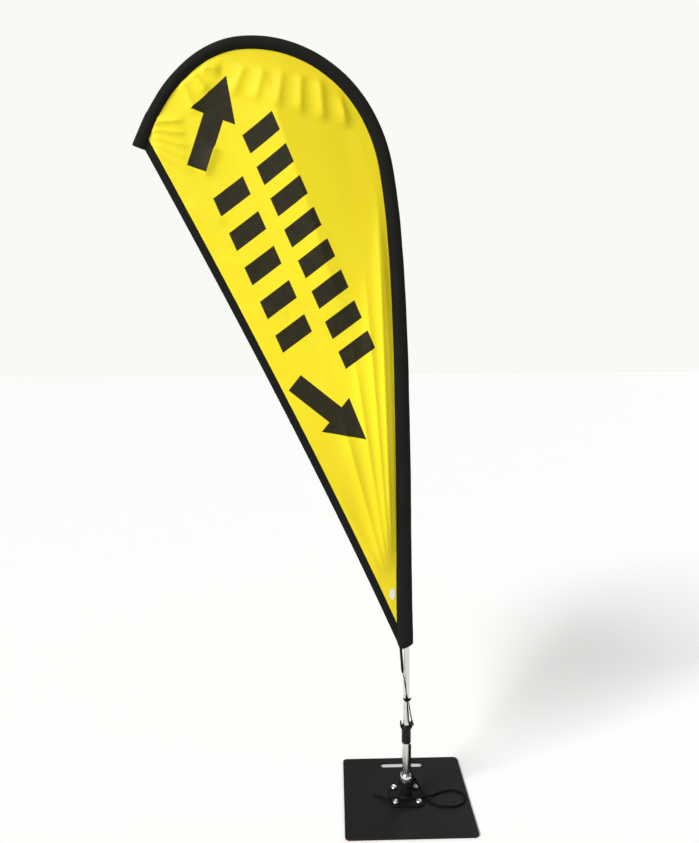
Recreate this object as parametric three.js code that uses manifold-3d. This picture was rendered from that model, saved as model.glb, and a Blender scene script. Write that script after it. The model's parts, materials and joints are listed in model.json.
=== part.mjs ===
// A teardrop flag on a square steel foot plate. A socket turns on bearings in the foot's post, and
// the pole that stands in it bends over at the top inside the flag's black sleeve.
// Millimetres, +Z up. The origin is on the socket's axis, at the underside of the plate.
// The flag lies in the plane y = 0 and reaches towards -X.
import * as THREE from 'three';
import { mergeVertices } from 'three/addons/utils/BufferGeometryUtils.js';
import Module from 'manifold-3d';

const wasm = await Module();
wasm.setup();

// Clearances
const gap = 0.3; // between pieces that touch
const holeClearance = 0.4; // round a bolt's shank

// Foot plate and the flange on it. The socket stands a little in front of the plate's middle.
const plate = { side: 400, thickness: 6, cornerRadius: 14, middleBehindSocket: 12 };
const carrySlot = { length: 144, width: 26, fromBackEdge: 40 };
const flange = { side: 108, thickness: 6, cornerRadius: 17 };
const bolt = { spacing: 73, headRadius: 10, headHeight: 7, headEdge: 1.2, shankRadius: 4 };
const boltSocket = { radius: 3.2, depth: 3 };
const washer = { radius: 12.5, thickness: 1.5 };

// Bearing post, its two ball bearings and the shaft that turns in them
const post = { radius: 19, top: 63, floor: 4, step: 2 };
const bearing = { radius: 13, bore: 5, width: 8, raceWall: 2.4, ballRadius: 2.1, ballCount: 7, play: 0.25 };
const cage = { halfWidth: 0.5, halfHeight: 0.8 };
const lowerBearingBottom = 25;
const spacerWall = 2;
const seal = { thickness: 3.6, lipClearance: 0.5 };
const shaft = { bottomBelowBearing: 5, shoulderRadius: 7.4, plugPlay: 0.6, plugTop: 92 };
const circlip = { radius: 7.2, thickness: 1.2, grooveDepth: 0.8, mouth: 3 };
const cap = { overPost: 1, topWall: 2.2, height: 24, straight: 8 };

// Socket tube and the hooked collar that closes it round the pole
const socketTube = { radius: 12.3, wall: 1.7, aboveCapFoot: 3, top: 205 };
const collar = { wall: 2, bottom: 193, top: 251, shoulder: 6, neckWall: 2.6, neckRise: 2 };
const ear = { reach: 5.4, tip: 2.4, rise: 14, width: 10 }; // beyond the collar's side and top
const collarRadius = socketTube.radius + gap + collar.wall;
const earReach = collarRadius + ear.reach;

// The pole's line: upright to bendStart, then three smooth curves to the tip. Every place on the flag
// is given as x and its height above bendStart, so that the flag goes with it.
const poleFoot = 98;
const bendStart = 500;
const bend = [
  [[0, 0], [-12, 322], [1, 1121], [-59, 1456]],
  [[-59, 1456], [-112, 1752], [-359, 1839], [-510, 1804]],
  [[-510, 1804], [-602, 1782], [-708, 1696], [-773, 1522]],
];
const poleSections = [
  { radius: 9.5, wall: 1.5, share: 0.26, steps: 7, sides: 16, material: 'aluminium' },
  { radius: 8, wall: 1.5, share: 0.26, steps: 8, sides: 10, material: 'aluminium' },
  { radius: 6, wall: 1.4, share: 0.24, steps: 22, sides: 8, material: 'fibreglass' },
  { radius: 4, wall: 1.2, share: 0.24, steps: 22, sides: 8, material: 'fibreglass' },
];
const ferrule = { wall: 0.8, length: 40, play: 0.9 };
const tipCap = { length: 14, radius: 5 };

// Sleeve: its two half widths and its half thickness, at the foot and at the tip
const sleeve = {
  outerHalf: [22.5, 17],
  innerHalf: [28.5, 16.5],
  halfThickness: [13.4, 8.2],
  fabric: 1,
};
const sleeveFoot = { outerRise: 22, corner: [-20, 6] };
const tipPocket = { length: 98, halfWidth: 18.4, flare: 2, halfThickness: 9, wall: 2, endWall: 8 };

// Panel, hem along the trailing edge, and the blank label. trailingBow is where the edge bows to.
const panelThickness = 1;
const hem = { width: 24.5, thickness: 2.4 };
const trailingBow = [-287, 625];
const label = { width: 18, height: 36, rise: 183, fromSleeve: 3, thickness: 0.6 };

// Tension gear between the sleeve's foot and the collar
const strap = { width: 8.5, thickness: 2, top: [-18, -8, 4], bottom: [-12.5, -11.5, -72] };
const tensionCordRadius = 1.6;
const knot = { at: [1, -16, 343], radii: [7.5, 5, 7.5], tailReach: 12, tailRise: 7, tailRadius: 2.4 };
const elasticRadius = 1.8;

// Tether: a cord that comes down beside the socket from the collar, passes the knot on the post and
// lies on the plate in a loose loop, with a tapered end
const tether = { radius: 3, steps: 94, sides: 8 };
const tetherWrap = { z: 55, knotRadii: [7.5, 5.5, 6.5], knotDegrees: -70 };
const tetherPoints = [
  [11.5, -10.9, 191.5],
  [11.5, -10.9, 160],
  [11.5, -10.9, 130],
  [12, -11.2, 108],
  [16, -11.8, 92],
  [21.4, -10, 80],
  [25.4, -2, 71],
  [29.2, 8, 64],
  [33.5, 15, 52],
  [40, 16, 36],
  [51, 8, 20],
  [61, -3, 11.5],
  [66, -19, 9.4],
  [75, -34, 9.3],
  [90, -46, 9.3],
  [110, -54, 9.3],
  [133, -57, 9.3],
  [156, -53, 9.3],
  [176, -41, 9.3],
  [188, -22, 9.3],
  [187, -1, 9.3],
  [174, 16, 9.3],
  [152, 24, 9.3],
  [126, 20.5, 9.3],
  [103, 10.5, 9.3],
  [84, -2.5, 11.5],
  [67, -13.5, 16.3],
  [50, -19, 17.6],
  [34, -19.5, 16.4],
  [18, -23, 16],
  [0, -25.5, 16],
  [-18, -23.5, 16],
  [-35, -19.5, 16.2],
  [-49, -18.5, 16.8],
  [-58, -17, 15],
  [-66, -13, 10.8],
  [-75, -7, 9.3],
  [-84, 0, 9.3],
];
const tetherTip = { length: 26, end: [-104, 20, 8.2], endRadius: 1.2, fromCord: 0.8 };

const materials = {
  powderBlack: { color: 0x26272a, roughness: 0.55, metalness: 0.3 },
  postBlack: { color: 0x141416, roughness: 0.35, metalness: 0.4 },
  chrome: { color: 0xd9d9dc, roughness: 0.12, metalness: 1 },
  steel: { color: 0xa8aaac, roughness: 0.35, metalness: 1 },
  aluminium: { color: 0xcfd0cc, roughness: 0.28, metalness: 1 },
  fibreglass: { color: 0x2a2b2b, roughness: 0.4, metalness: 0 },
  blackPlastic: { color: 0x161616, roughness: 0.5, metalness: 0 },
  rubber: { color: 0x1b1b1b, roughness: 0.8, metalness: 0 },
  sleeveFabric: { color: 0x1c1d1a, roughness: 0.8, metalness: 0 },
  flagFabric: { color: 0xeede28, roughness: 0.6, metalness: 0 },
  webbing: { color: 0x171717, roughness: 0.85, metalness: 0 },
  cordBlack: { color: 0x121212, roughness: 0.8, metalness: 0 },
  labelGrey: { color: 0xd8d8d2, roughness: 0.6, metalness: 0 },
};

const flag = new THREE.Group();

function addPiece(name, geometry, materialName) {
  const mesh = new THREE.Mesh(geometry, new THREE.MeshStandardMaterial(materials[materialName]));
  mesh.name = name;
  flag.add(mesh);
  return mesh;
}

// Solids: joined and cut by manifold-3d

function toSolid(geometry) {
  const bare = new THREE.BufferGeometry();
  const source = geometry.index ? geometry.toNonIndexed() : geometry;
  bare.setAttribute('position', source.getAttribute('position'));
  const merged = mergeVertices(bare, 1e-3);
  return new wasm.Manifold(
    new wasm.Mesh({
      numProp: 3,
      vertProperties: merged.attributes.position.array,
      triVerts: new Uint32Array(merged.index.array),
    }),
  );
}

function toGeometry(solid) {
  const mesh = solid.getMesh();
  const geometry = new THREE.BufferGeometry();
  geometry.setAttribute('position', new THREE.BufferAttribute(mesh.vertProperties, 3));
  geometry.setIndex(new THREE.BufferAttribute(mesh.triVerts, 1));
  return geometry;
}

function cut(geometry, ...cutters) {
  return toGeometry(cutters.reduce((left, cutter) => left.subtract(toSolid(cutter)), toSolid(geometry)));
}

function join(geometry, ...others) {
  return toGeometry(others.reduce((sum, other) => sum.add(toSolid(other)), toSolid(geometry)));
}

function overlapOf(a, b) {
  return toGeometry(toSolid(a).intersect(toSolid(b)));
}

// Shapes

// A solid turned about the Z axis from a closed outline of [radius, z] points.
function turned(outline, segments = 32) {
  const points = [...outline, outline[0]].map(([r, z]) => new THREE.Vector2(r, z));
  return new THREE.LatheGeometry(points, segments).rotateX(Math.PI / 2);
}

function ring(inner, outer, bottom, top, segments) {
  return turned([[inner, bottom], [outer, bottom], [outer, top], [inner, top]], segments);
}

function disc(radius, bottom, top, segments = 32) {
  const height = top - bottom;
  return new THREE.CylinderGeometry(radius, radius, height, segments)
    .rotateX(Math.PI / 2)
    .translate(0, 0, bottom + height / 2);
}

function squareShape(side, cornerRadius) {
  const half = side / 2;
  const inner = half - cornerRadius;
  const shape = new THREE.Shape();
  [[1, -1, -90], [1, 1, 0], [-1, 1, 90], [-1, -1, 180]].forEach(([sx, sy, startDegrees]) => {
    const start = THREE.MathUtils.degToRad(startDegrees);
    shape.absarc(sx * inner, sy * inner, cornerRadius, start, start + Math.PI / 2);
  });
  return shape;
}

function upright(shape, bottom, height, curveSegments = 8) {
  const options = { depth: height, bevelEnabled: false, curveSegments };
  return new THREE.ExtrudeGeometry(shape, options).translate(0, 0, bottom);
}

// A flat slab in the flag's plane, from a closed outline of [x, z] points, centred on y.
function slab(outline, thickness, y = 0) {
  const shape = new THREE.Shape(outline.map(([x, z]) => new THREE.Vector2(x, z)));
  return new THREE.ExtrudeGeometry(shape, { depth: thickness, bevelEnabled: false })
    .translate(0, 0, -thickness / 2)
    .rotateX(Math.PI / 2)
    .translate(0, y, 0);
}

// A tube along a curve, with an even number of sides.
function roundTube(curve, radius, steps, sides, boreRadius = 0) {
  const section = new THREE.Shape().absarc(0, 0, radius, 0, 2 * Math.PI);
  if (boreRadius > 0) section.holes.push(new THREE.Path().absarc(0, 0, boreRadius, 0, 2 * Math.PI, true));
  const options = { steps, bevelEnabled: false, extrudePath: curve, curveSegments: sides / 2 };
  return new THREE.ExtrudeGeometry(section, options);
}

// A closed solid through rings of points, each ring convex and turning the same way about the line.
function loft(rings) {
  const count = rings[0].length;
  const last = (rings.length - 1) * count;
  const index = [];
  for (let start = 0; start < last; start += count) {
    for (let i = 0; i < count; i += 1) {
      const a = start + i;
      const b = start + ((i + 1) % count);
      index.push(a, b, b + count, a, b + count, a + count);
    }
  }
  for (let i = 1; i < count - 1; i += 1) {
    index.push(0, i + 1, i, last, last + i, last + i + 1);
  }
  const geometry = new THREE.BufferGeometry().setFromPoints(rings.flat());
  geometry.setIndex(index);
  return geometry;
}

// The pole's line, and places beside it

const aboveBend = ([x, rise]) => new THREE.Vector3(x, 0, bendStart + rise);
const poleLine = new THREE.CurvePath();
poleLine.add(new THREE.LineCurve3(new THREE.Vector3(0, 0, poleFoot), aboveBend([0, 0])));
bend.forEach((points) => poleLine.add(new THREE.CubicBezierCurve3(...points.map(aboveBend))));
poleLine.arcLengthDivisions = 400;
const poleLength = poleLine.getLength();
const pocketStart = poleLength - tipPocket.length;

// A stretch of the pole's line between two distances from its foot.
class PoleStretch extends THREE.Curve {
  constructor(from, to) {
    super();
    this.from = from;
    this.to = to;
  }

  getPoint(t, target = new THREE.Vector3()) {
    return target.copy(poleLine.getPointAt((this.from + t * (this.to - this.from)) / poleLength));
  }
}

function poleFrame(distance) {
  const u = THREE.MathUtils.clamp(distance / poleLength, 0, 1);
  const along = poleLine.getTangentAt(u);
  return { point: poleLine.getPointAt(u), outward: new THREE.Vector3(along.z, 0, -along.x) };
}

function distanceAtHeight(z) {
  return z - poleFoot; // true on the upright stretch and, to a millimetre, just above it
}

const sleeveStart = distanceAtHeight(bendStart);

function sleeveValue([atFoot, atTip], distance) {
  const share = (distance - sleeveStart) / (poleLength - sleeveStart);
  return THREE.MathUtils.lerp(atFoot, atTip, THREE.MathUtils.clamp(share, 0, 1));
}

function innerHalfAt(distance) {
  return distance < pocketStart ? sleeveValue(sleeve.innerHalf, distance) : tipPocket.halfWidth;
}

// A point of the sleeve's flag side, `extra` beyond its edge.
function innerEdgePoint(distance, extra) {
  const { point, outward } = poleFrame(distance);
  return point.addScaledVector(outward, -(innerHalfAt(distance) + extra));
}

function sectionRing(distance, outerHalf, innerHalf, halfThickness, sides) {
  const { point, outward } = poleFrame(distance);
  return Array.from({ length: sides }, (_, i) => {
    const angle = (2 * Math.PI * i) / sides;
    const across = Math.cos(angle) * (Math.cos(angle) > 0 ? outerHalf : innerHalf);
    const place = point.clone().addScaledVector(outward, across);
    place.y += Math.sin(angle) * halfThickness;
    return place;
  });
}

// Evenly spread distances, with both ends.
function spread(from, to, count) {
  return Array.from({ length: count + 1 }, (_, i) => from + ((to - from) * i) / count);
}

// The sleeve and what lies along it share these stations, so their faceted edges run side by side.
const sleeveStations = spread(sleeveStart, pocketStart - gap, 40);
const pocketStations = spread(pocketStart, poleLength, 6);

// Foot: plate, flange and post, bolts

const plateTop = plate.thickness;
const flangeBottom = plateTop + gap;
const flangeTop = flangeBottom + flange.thickness;
const boltHole = bolt.shankRadius + holeClearance;
const boltPlaces = [[-1, -1], [1, -1], [1, 1], [-1, 1]].map(([sx, sy]) => [
  (sx * bolt.spacing) / 2,
  (sy * bolt.spacing) / 2,
]);

function buildPlate() {
  const shape = squareShape(plate.side, plate.cornerRadius);
  const slotY = plate.side / 2 - carrySlot.fromBackEdge;
  const endRadius = carrySlot.width / 2;
  const endX = carrySlot.length / 2 - endRadius;
  const slot = new THREE.Path();
  slot.absarc(endX, slotY, endRadius, -Math.PI / 2, Math.PI / 2);
  slot.absarc(-endX, slotY, endRadius, Math.PI / 2, (3 * Math.PI) / 2);
  shape.holes.push(slot);
  boltPlaces.forEach(([x, y]) => {
    const holeY = y - plate.middleBehindSocket;
    shape.holes.push(new THREE.Path().absarc(x, holeY, boltHole, 0, 2 * Math.PI));
  });
  const body = upright(shape, 0, plate.thickness).translate(0, plate.middleBehindSocket, 0);
  addPiece('base_plate', body, 'powderBlack');
}

const lowerBearingTop = lowerBearingBottom + bearing.width;
const upperBearingTop = post.top - seal.thickness - 2 * gap;
const upperBearingBottom = upperBearingTop - bearing.width;
const postBore = bearing.radius + gap;

function buildFoot() {
  const flangeShape = squareShape(flange.side, flange.cornerRadius);
  boltPlaces.forEach(([x, y]) => {
    flangeShape.holes.push(new THREE.Path().absarc(x, y, boltHole, 0, 2 * Math.PI));
  });
  const flangePlate = upright(flangeShape, flangeBottom, flange.thickness);
  const body = join(flangePlate, disc(post.radius, flangeTop - 1, post.top, 28));
  const boreBottom = flangeBottom + post.floor;
  const step = disc(postBore - post.step, boreBottom, lowerBearingBottom, 20);
  const bore = disc(postBore, lowerBearingBottom - gap, post.top + 1, 24);
  addPiece('bearing_post', cut(body, step, bore), 'postBlack');

  boltPlaces.forEach(([x, y], i) => {
    const washerBottom = flangeTop + gap;
    const washerTop = washerBottom + washer.thickness;
    const washerRing = ring(boltHole, washer.radius, washerBottom, washerTop, 20);
    addPiece(`bolt_washer_${i + 1}`, washerRing.translate(x, y, 0), 'postBlack');

    const headBottom = washerTop + gap;
    const shoulder = headBottom + bolt.headEdge;
    const domeHeight = bolt.headHeight - bolt.headEdge;
    const dome = [90, 68, 46, 24, 0].map((degrees) => {
      const angle = THREE.MathUtils.degToRad(90 - degrees);
      return [bolt.headRadius * Math.cos(angle), shoulder + domeHeight * Math.sin(angle)];
    });
    const shankRadius = bolt.shankRadius;
    const outline = [[0, gap], [shankRadius, gap], [shankRadius, headBottom], [bolt.headRadius, headBottom]];
    const topZ = shoulder + domeHeight;
    const body = turned([...outline, ...dome.slice(0, -1), [0, topZ]], 16);
    const socket = disc(boltSocket.radius, topZ - boltSocket.depth, topZ + 1, 6);
    addPiece(`flange_bolt_${i + 1}`, cut(body, socket).translate(x, y, 0), 'chrome');
  });
}

// Bearings, shaft, seal and the chrome cap

function buildBearing(name, bottom) {
  const top = bottom + bearing.width;
  const middle = bottom + bearing.width / 2;
  const pitch = (bearing.radius + bearing.bore) / 2;
  const outerInside = bearing.radius - bearing.raceWall;
  const innerOutside = bearing.bore + bearing.raceWall;
  const groove = bearing.ballRadius + bearing.play;
  const grooveHalf = bearing.ballRadius * 0.85;
  const outerRace = [
    [outerInside, bottom],
    [bearing.radius, bottom],
    [bearing.radius, top],
    [outerInside, top],
    [outerInside, middle + grooveHalf],
    [pitch + groove, middle + grooveHalf / 2],
    [pitch + groove, middle - grooveHalf / 2],
    [outerInside, middle - grooveHalf],
  ];
  const bore = bearing.bore + gap / 2;
  const innerRace = [
    [bore, bottom],
    [innerOutside, bottom],
    [innerOutside, middle - grooveHalf],
    [pitch - groove, middle - grooveHalf / 2],
    [pitch - groove, middle + grooveHalf / 2],
    [innerOutside, middle + grooveHalf],
    [innerOutside, top],
    [bore, top],
  ];
  addPiece(`${name}_outer_race`, turned(outerRace, 20), 'steel');
  addPiece(`${name}_inner_race`, turned(innerRace, 18), 'steel');
  const balls = Array.from({ length: bearing.ballCount }, (_, i) => {
    const angle = (2 * Math.PI * i) / bearing.ballCount;
    const ball = new THREE.SphereGeometry(bearing.ballRadius, 7, 5).rotateX(Math.PI / 2);
    return ball.translate(pitch * Math.cos(angle), pitch * Math.sin(angle), middle);
  });
  const { halfWidth, halfHeight } = cage;
  const cageRing = ring(pitch - halfWidth, pitch + halfWidth, middle - halfHeight, middle + halfHeight, 14);
  addPiece(`${name}_balls`, join(cageRing, ...balls), 'steel');
}

const capBottom = post.top + 2 * gap;
const socketBore = socketTube.radius - socketTube.wall;
const tubeBottom = capBottom + socketTube.aboveCapFoot;

function buildSpindle() {
  buildBearing('lower_bearing', lowerBearingBottom);
  buildBearing('upper_bearing', upperBearingBottom);
  const spacerBottom = lowerBearingTop + gap;
  const spacerTop = upperBearingBottom - gap;
  const spacerInner = bearing.radius - spacerWall;
  addPiece('bearing_spacer', ring(spacerInner, bearing.radius, spacerBottom, spacerTop, 20), 'aluminium');

  const shaftBottom = lowerBearingBottom - shaft.bottomBelowBearing;
  const grooveTop = lowerBearingBottom - gap;
  const grooveBottom = grooveTop - circlip.thickness - gap;
  const grooveRadius = bearing.bore - circlip.grooveDepth;
  const shoulderBottom = upperBearingTop + gap;
  const plugRadius = socketBore - shaft.plugPlay;
  const outline = [
    [0, shaftBottom],
    [bearing.bore, shaftBottom],
    [bearing.bore, grooveBottom],
    [grooveRadius, grooveBottom],
    [grooveRadius, grooveTop],
    [bearing.bore, grooveTop],
    [bearing.bore, shoulderBottom],
    [shaft.shoulderRadius, shoulderBottom],
    [shaft.shoulderRadius, tubeBottom],
    [plugRadius, tubeBottom],
    [plugRadius, shaft.plugTop],
    [0, shaft.plugTop],
  ];
  addPiece('spindle_shaft', turned(outline, 20), 'steel');

  const clipTop = grooveTop - gap / 2;
  const clip = ring(grooveRadius + gap, circlip.radius, clipTop - circlip.thickness, clipTop, 24);
  const mouth = new THREE.BoxGeometry(circlip.radius * 2, circlip.mouth, circlip.thickness * 3);
  mouth.translate(circlip.radius, 0, clipTop);
  addPiece('shaft_circlip', cut(clip, mouth), 'steel');

  const sealBottom = upperBearingTop + gap;
  const sealInner = shaft.shoulderRadius + seal.lipClearance;
  addPiece('dust_seal', ring(sealInner, bearing.radius, sealBottom, sealBottom + seal.thickness, 20), 'rubber');

  addPiece('socket_tube', ring(socketBore, socketTube.radius, tubeBottom, socketTube.top, 32), 'chrome');

  const capTop = capBottom + cap.height;
  const capBore = socketTube.radius + gap;
  const capRadius = post.radius + cap.overPost;
  const capTopRadius = socketTube.radius + cap.topWall;
  const dome = spread(0, 90, 4).map((degrees) => {
    const angle = THREE.MathUtils.degToRad(degrees);
    return [
      capTopRadius + (capRadius - capTopRadius) * Math.cos(angle),
      capBottom + cap.straight + (cap.height - cap.straight) * Math.sin(angle),
    ];
  });
  const outlineOfCap = [[capBore, capBottom], [capRadius, capBottom], ...dome, [capBore, capTop]];
  addPiece('socket_cap', turned(outlineOfCap, 32), 'chrome');
}

// Pole: collar, four sections, ferrules and the tip's cap

// An ear swells out from the collar's shoulder and turns up beside the pole.
function earShape(side) {
  const shape = new THREE.Shape();
  const earTip = collarRadius + ear.tip;
  const earTop = collar.top + ear.rise;
  const root = collarRadius - 4;
  const foot = collar.top - 13;
  const shoulder = collar.top + collar.neckRise;
  shape.moveTo(side * root, foot);
  shape.lineTo(side * (collarRadius - 0.5), foot);
  shape.quadraticCurveTo(side * earReach, foot + 6, side * earReach, shoulder + 1);
  shape.quadraticCurveTo(side * earReach, earTop, side * earTip, earTop);
  shape.quadraticCurveTo(side * collarRadius, earTop, side * collarRadius, shoulder + 4);
  shape.lineTo(side * collarRadius, shoulder - 3);
  shape.lineTo(side * root, shoulder - 3);
  return shape;
}

function buildCollar() {
  const skirtBore = socketTube.radius + gap;
  const skirtTop = socketTube.top + gap;
  const neckBore = poleSections[0].radius + gap;
  const outline = [
    [skirtBore, collar.bottom],
    [collarRadius - 0.8, collar.bottom],
    [collarRadius, collar.bottom + 1.5],
    [collarRadius, collar.top - collar.shoulder],
    [collarRadius - 1, collar.top],
    [neckBore + collar.neckWall, collar.top + collar.neckRise],
    [neckBore, collar.top + collar.neckRise],
    [neckBore, skirtTop],
    [skirtBore, skirtTop],
  ];
  const ears = [-1, 1].map((side) =>
    new THREE.ExtrudeGeometry(earShape(side), { depth: ear.width, bevelEnabled: false, curveSegments: 4 })
      .translate(0, 0, -ear.width / 2)
      .rotateX(Math.PI / 2),
  );
  const body = join(turned(outline, 28), ...ears);
  const neckHole = disc(neckBore, skirtTop, collar.top + 40, 28);
  addPiece('hook_collar', cut(body, neckHole), 'blackPlastic');
}

const poleEnd = poleLength - tipPocket.endWall - tipCap.length - gap;

function sectionEnds() {
  let end = 0;
  return poleSections.map(({ share }) => {
    const start = end;
    end = start + share * poleEnd;
    return [start, end];
  });
}

function buildPole() {
  buildCollar();
  sectionEnds().forEach(([start, end], i) => {
    const { radius, wall, steps, sides, material } = poleSections[i];
    const stretch = new PoleStretch(i === 0 ? start : start + gap, end);
    addPiece(`pole_section_${i + 1}`, roundTube(stretch, radius, steps, sides, radius - wall), material);
    if (i === 0) return;
    const below = poleSections[i - 1].radius + ferrule.play;
    const reach = ferrule.length / 2;
    const solidRing = roundTube(new PoleStretch(start - reach, start + reach), below + ferrule.wall, 3, 10);
    const lowerHole = roundTube(new PoleStretch(start - reach - 5, start + gap), below, 3, 10);
    const upperHole = roundTube(new PoleStretch(start - 1, start + reach + 5), radius + ferrule.play, 3, 10);
    addPiece(`pole_ferrule_${i}`, cut(solidRing, lowerHole, upperHole), 'steel');
  });
  const capStart = poleEnd + gap;
  const capStretch = new PoleStretch(capStart, capStart + tipCap.length - gap);
  addPiece('pole_tip_cap', roundTube(capStretch, tipCap.radius, 2, 10), 'rubber');
}

// Flag: sleeve, tip pocket, panel, hem and label

function buildSleeve() {
  const ringAt = (distance, lessBy) => {
    const [outer, inner, thick] = [sleeve.outerHalf, sleeve.innerHalf, sleeve.halfThickness].map(
      (value) => sleeveValue(value, distance) - lessBy,
    );
    return sectionRing(distance, outer, inner, thick, 12);
  };
  const outside = sleeveStations.map((d) => ringAt(d, 0));
  const inside = [sleeveStart - 20, ...sleeveStations, pocketStart + 20].map((d) => ringAt(d, sleeve.fabric));
  const { x: cornerX, z: cornerZ } = footCorner;
  const { x: bowX, z: bowZ } = bowPlace;
  const outerX = sleeve.outerHalf[0];
  const slope = (sleeveFoot.outerRise - sleeveFoot.corner[1]) / (outerX - cornerX);
  const farRight = outerX + 40;
  const upTrailing = 0.2;
  const trim = slab(
    [
      [cornerX, cornerZ],
      [cornerX + upTrailing * (bowX - cornerX), cornerZ + upTrailing * (bowZ - cornerZ)],
      [cornerX - 120, cornerZ + 60],
      [cornerX - 120, cornerZ - 60],
      [farRight, cornerZ - 60],
      [farRight, cornerZ + slope * (farRight - cornerX)],
    ],
    80,
  );
  addPiece('flag_sleeve', cut(loft(outside), loft(inside), trim), 'sleeveFabric');
}

function buildTipPocket() {
  const { halfWidth, flare, halfThickness, wall, endWall } = tipPocket;
  const rings = pocketStations.map((d, i) => {
    const spreadOut = i > 3 ? (flare * (i - 3)) / 3 : 0;
    return sectionRing(d, halfWidth + spreadOut, halfWidth, halfThickness, 12);
  });
  const hollow = spread(pocketStart - 5, poleLength - endWall, 5).map((d) =>
    sectionRing(d, halfWidth - wall, halfWidth - wall, halfThickness - wall, 12),
  );
  addPiece('tip_pocket', cut(loft(rings), loft(hollow)), 'sleeveFabric');
}

// The trailing edge, from the tip pocket's inner corner to the sleeve's foot.
const tipCorner = innerEdgePoint(poleLength, 0);
const footCorner = aboveBend(sleeveFoot.corner);
const bowPlace = aboveBend(trailingBow);
const trailingEdge = new THREE.QuadraticBezierCurve3(tipCorner, bowPlace, footCorner);

function besideTrailingEdge(offset, reach = 0) {
  return spread(-reach, 1, 24).map((t) => {
    const share = THREE.MathUtils.clamp(t, 0, 1);
    const along = trailingEdge.getTangent(share);
    const point = trailingEdge.getPoint(share).addScaledVector(along, Math.min(t, 0) * 100);
    return [point.x - along.z * offset, point.z + along.x * offset];
  });
}

function insideSleeveOutline() {
  const edge = [
    ...sleeveStations.map((d) => innerEdgePoint(d, gap)),
    ...pocketStations.map((d) => innerEdgePoint(d, gap)),
  ].map((point) => [point.x, point.z]);
  const [tipX, tipZ] = edge.at(-1);
  return [...edge, [tipX - 300, tipZ - 130], [tipX - 300, poleFoot]];
}

function buildPanel() {
  const inside = insideSleeveOutline();
  const hemBand = [...besideTrailingEdge(0, 1), ...besideTrailingEdge(hem.width, 1).reverse()];
  const hemSolid = overlapOf(slab(inside, hem.thickness), slab(hemBand, hem.thickness));
  addPiece('trailing_hem', hemSolid, 'sleeveFabric');
  const line = besideTrailingEdge(hem.width + gap, 1);
  const [startX, startZ] = line[0];
  const right = 300;
  const over = startZ + 600;
  const panelSide = [...line, [right, line.at(-1)[1]], [right, over], [startX - 200, over]];
  const panelSolid = overlapOf(slab(inside, panelThickness), slab(panelSide, panelThickness));
  addPiece('flag_panel', panelSolid, 'flagFabric');

  const labelZ = bendStart + label.rise;
  const labelX = innerEdgePoint(distanceAtHeight(labelZ), gap).x - label.fromSleeve - label.width / 2;
  const oval = spread(0, 2 * Math.PI, 24).slice(0, -1).map((angle) => [
    labelX + (label.width / 2) * Math.cos(angle),
    labelZ + (label.height / 2) * Math.sin(angle),
  ]);
  const labelY = -(panelThickness / 2 + gap + label.thickness / 2);
  addPiece('blank_label', slab(oval, label.thickness, labelY), 'labelGrey');
}

// Tension gear: strap, cord, knot and the elastic loop on the collar's ear

const vectors = (points) => points.map((point) => new THREE.Vector3(...point));

function buildTension() {
  const [top, bottom] = vectors([strap.top, strap.bottom]).map((point) => point.setZ(point.z + bendStart));
  const along = bottom.clone().sub(top);
  const band = new THREE.BoxGeometry(strap.width, strap.thickness, along.length());
  const down = new THREE.Vector3(0, 0, -1);
  band.applyQuaternion(new THREE.Quaternion().setFromUnitVectors(down, along.clone().normalize()));
  const middle = top.clone().add(bottom).multiplyScalar(0.5);
  addPiece('tension_strap', band.translate(middle.x, middle.y, middle.z), 'webbing');

  const [kx, ky, kz] = knot.at;
  const cordStart = [bottom.x + 1, bottom.y - 0.2, bottom.z - strap.thickness];
  const cordEnd = [kx - 0.4, ky + 1.6, kz + knot.radii[2] + gap + 1];
  const cordRoute = [cordStart, [-8.4, -12.6, 412], [-3.6, -13.2, 382], cordEnd];
  const cordCurve = new THREE.CatmullRomCurve3(vectors(cordRoute));
  addPiece('tension_cord', roundTube(cordCurve, tensionCordRadius, 8, 6), 'cordBlack');

  const ball = new THREE.SphereGeometry(1, 10, 7).scale(...knot.radii).translate(kx, ky, kz);
  const tails = [-1, 1].map((side) => {
    const points = vectors([
      [kx + side * 3, ky, kz + 1],
      [kx + side * 8, ky - 1, kz + 3],
      [kx + side * knot.tailReach, ky - 1, kz + knot.tailRise],
    ]);
    return roundTube(new THREE.CatmullRomCurve3(points), knot.tailRadius, 4, 6);
  });
  addPiece('tension_knot', join(ball, ...tails), 'cordBlack');

  // Down to the right ear, in between it and the pole, round the back and up again.
  const loopStart = kz - knot.radii[2] - gap - 1;
  const inGap = (poleSections[0].radius + collarRadius) / 2;
  const overNeck = collar.top + collar.neckRise + elasticRadius + 1;
  const besideEar = ear.width / 2 + elasticRadius + 1.2;
  const loopRoute = [
    [kx + 0.5, ky + 1, loopStart],
    [kx + 3, ky + 2.2, loopStart - 30],
    [kx + 6, -13.4, overNeck + 17],
    [inGap - 0.6, -9.4, overNeck + 5],
    [inGap, 0, overNeck],
    [inGap + 0.4, besideEar, overNeck],
    [earReach - 3.5, besideEar + 1.4, overNeck - 2.5],
    [earReach + 1.6, besideEar - 1.2, overNeck - 4.5],
    [earReach + 2.8, 1, overNeck - 6],
    [earReach + 1.8, 1 - besideEar, overNeck - 1],
    [earReach - 0.5, -11, overNeck + 8],
    [kx + 13, -13.6, overNeck + 28],
    [kx + 5.2, ky + 1, loopStart],
  ];
  const loopCurve = new THREE.CatmullRomCurve3(vectors(loopRoute), false, 'centripetal');
  addPiece('elastic_loop', roundTube(loopCurve, elasticRadius, 26, 6), 'cordBlack');
}

// Tether: wrap and knot round the post, the free cord and its tapered end

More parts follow.
